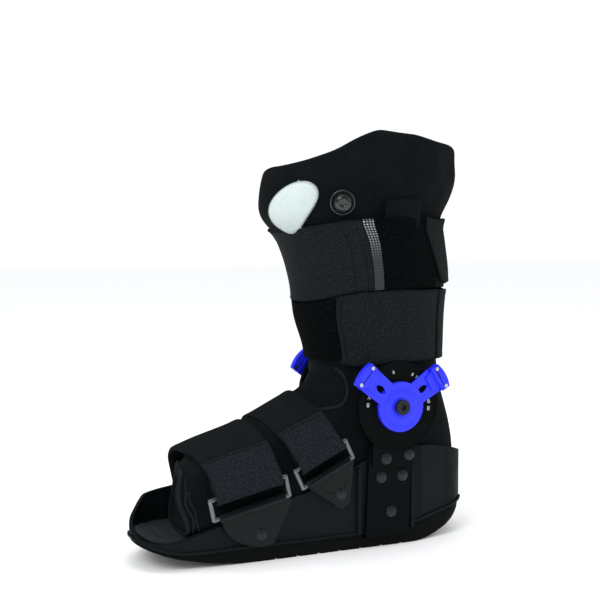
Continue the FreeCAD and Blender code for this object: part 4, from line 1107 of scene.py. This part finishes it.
def make_dial_numbers(side, word):
    """The scale numbers printed on a dial, each with its top outwards."""
    out = Vector((0, side, 0))
    face = (DIAL_LEVEL - NUMBER_DEPTH) * side
    points, faces = [], []
    for label, angle in DIAL_NUMBERS:
        curve = bpy.data.curves.new("number", "FONT")
        curve.body, curve.size, curve.extrude = label, NUMBER_SIZE * MM, 0.05 * MM
        curve.align_x, curve.align_y = "CENTER", "CENTER"
        holder = bpy.data.objects.new("number", curve)
        bpy.context.scene.collection.objects.link(holder)
        made = baked(holder)
        up = Vector((math.cos(math.radians(angle)), 0, math.sin(math.radians(angle))))
        turn = Matrix((up.cross(out), up, out)).transposed()
        centre = Vector((HINGE.x, face, HINGE.z)) + up * NUMBER_RADIUS
        base = len(points)
        points += [centre + turn @ (vertex.co / MM) for vertex in made.vertices]
        faces += [tuple(base + i for i in polygon.vertices) for polygon in made.polygons]
        bpy.data.objects.remove(holder)
    numbers = add_piece("dial_numbers_" + word, points, faces, white_print, "foot")
    numbers.data.polygons.foreach_set("use_smooth", [False] * len(numbers.data.polygons))


def make_hub_step(side, word):
    """The raised step round the pivot of the outer lever."""
    profile = [(6.3, -0.2), (14.9, -0.2), (15.1, 0.0), (14.8, 0.24), (6.6, 0.24), (6.3, 0.1)]
    step = lathe("lever_hub_step_" + word, profile, Vector((HINGE.x, side * HUB_LEVEL, HINGE.z)),
                 (0, side, 0), blue_plastic, "lever_front_" + word, 64, True)


# ---- insole ----
def make_insole():
    """The removable insole: the footbed's outline as one soft crowned pad."""
    source = frame["nodes"]["footbed"]
    insole = bpy.data.objects.new("insole", source.data.copy())
    bpy.context.scene.collection.objects.link(insole)
    remesh = insole.modifiers.new("even", "REMESH")
    remesh.mode = "VOXEL"
    remesh.voxel_size = 2.6 * MM
    soften = insole.modifiers.new("soften", "SMOOTH")
    soften.factor = 0.6
    soften.iterations = 4
    made = baked(insole)
    insole.modifiers.clear()
    insole.data = made
    made.materials.clear()
    made.materials.append(insole_cloth)
    made.polygons.foreach_set("use_smooth", [True] * len(made.polygons))
    simulate(insole, [0.0 if vertex.normal.z > 0.3 else 1.0 for vertex in made.vertices], 3.0, 0.9)
    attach(insole, "foot")
    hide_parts("footbed")


# ---- camera, light and floor ----
def make_stage():
    """A pale floor, soft studio light and the camera."""
    scene = bpy.context.scene
    scene.view_settings.view_transform = "Standard"
    size = 6.0
    mesh = bpy.data.meshes.new("floor")
    corners = [(-size, -size, 0), (size, -size, 0), (size, size, 0), (-size, size, 0)]
    mesh.from_pydata(corners, [], [(0, 1, 2, 3)])
    floor = bpy.data.objects.new("floor", mesh)
    look = Look("floor_paint", (0.965, 0.965, 0.965), 0.9, Specular_IOR_Level=0.1)
    look.bump(look.noise(look.coords(), 40, 2), 0.05)
    mesh.materials.append(look.material)
    scene.collection.objects.link(floor)
    world = bpy.data.worlds.new("studio")
    world.use_nodes = True
    background = world.node_tree.nodes["Background"]
    background.inputs["Color"].default_value = (0.97, 0.985, 1.0, 1)
    path = world.node_tree.nodes.new("ShaderNodeLightPath")
    strength = world.node_tree.nodes.new("ShaderNodeMapRange")
    strength.inputs["To Min"].default_value, strength.inputs["To Max"].default_value = 1.06, 0.12
    world.node_tree.links.new(path.outputs["Is Glossy Ray"], strength.inputs["Value"])
    world.node_tree.links.new(strength.outputs["Result"], background.inputs["Strength"])
    scene.world = world
    target = Vector((-0.02, 0.0, 0.16))

    def area(name, place, power, width, height):
        light = bpy.data.lights.new(name, "AREA")
        light.shape = "RECTANGLE"
        light.size, light.size_y = width, height
        light.energy = power
        obj = bpy.data.objects.new(name, light)
        obj.location = place
        obj.rotation_euler = (target - Vector(place)).to_track_quat("-Z", "Y").to_euler()
        scene.collection.objects.link(obj)
    area("key", (1.0, 0.75, 1.15), 9, 0.7, 0.7)
    area("fill", (-1.4, 0.75, 0.95), 2.8, 0.8, 1.0)
    area("top", (0.0, -0.1, 1.6), 5, 1.1, 1.0)
    camera_data = bpy.data.cameras.new("camera")
    camera_data.lens = 67.5
    camera_data.sensor_width = 36
    camera = bpy.data.objects.new("camera", camera_data)
    camera.location = (0.3754, 0.8157, 0.252)
    camera.rotation_euler = Vector((-0.4210, -0.9070, -0.0647)).to_track_quat("-Z", "Y").to_euler()
    scene.collection.objects.link(camera)
    scene.camera = camera


dress_cad_nodes()
liner, toe_rings = make_liner()
liner_tree = surface_tree(liner)
make_liner_trim(liner_tree, toe_rings)
make_patch(liner_tree)
make_valve()
make_lower_calf_strap()
make_upper_calf_strap()
for hinge_side, hinge_word in ((1, "left"), (-1, "right")):
    make_sleeve(hinge_side, hinge_word)
    make_dial_numbers(hinge_side, hinge_word)
    make_hub_step(hinge_side, hinge_word)
make_strap_pad()
for strap_name, strap_sizes in FOOT_STRAPS.items():
    make_foot_strap(strap_name, *strap_sizes)
make_insole()
make_stage()
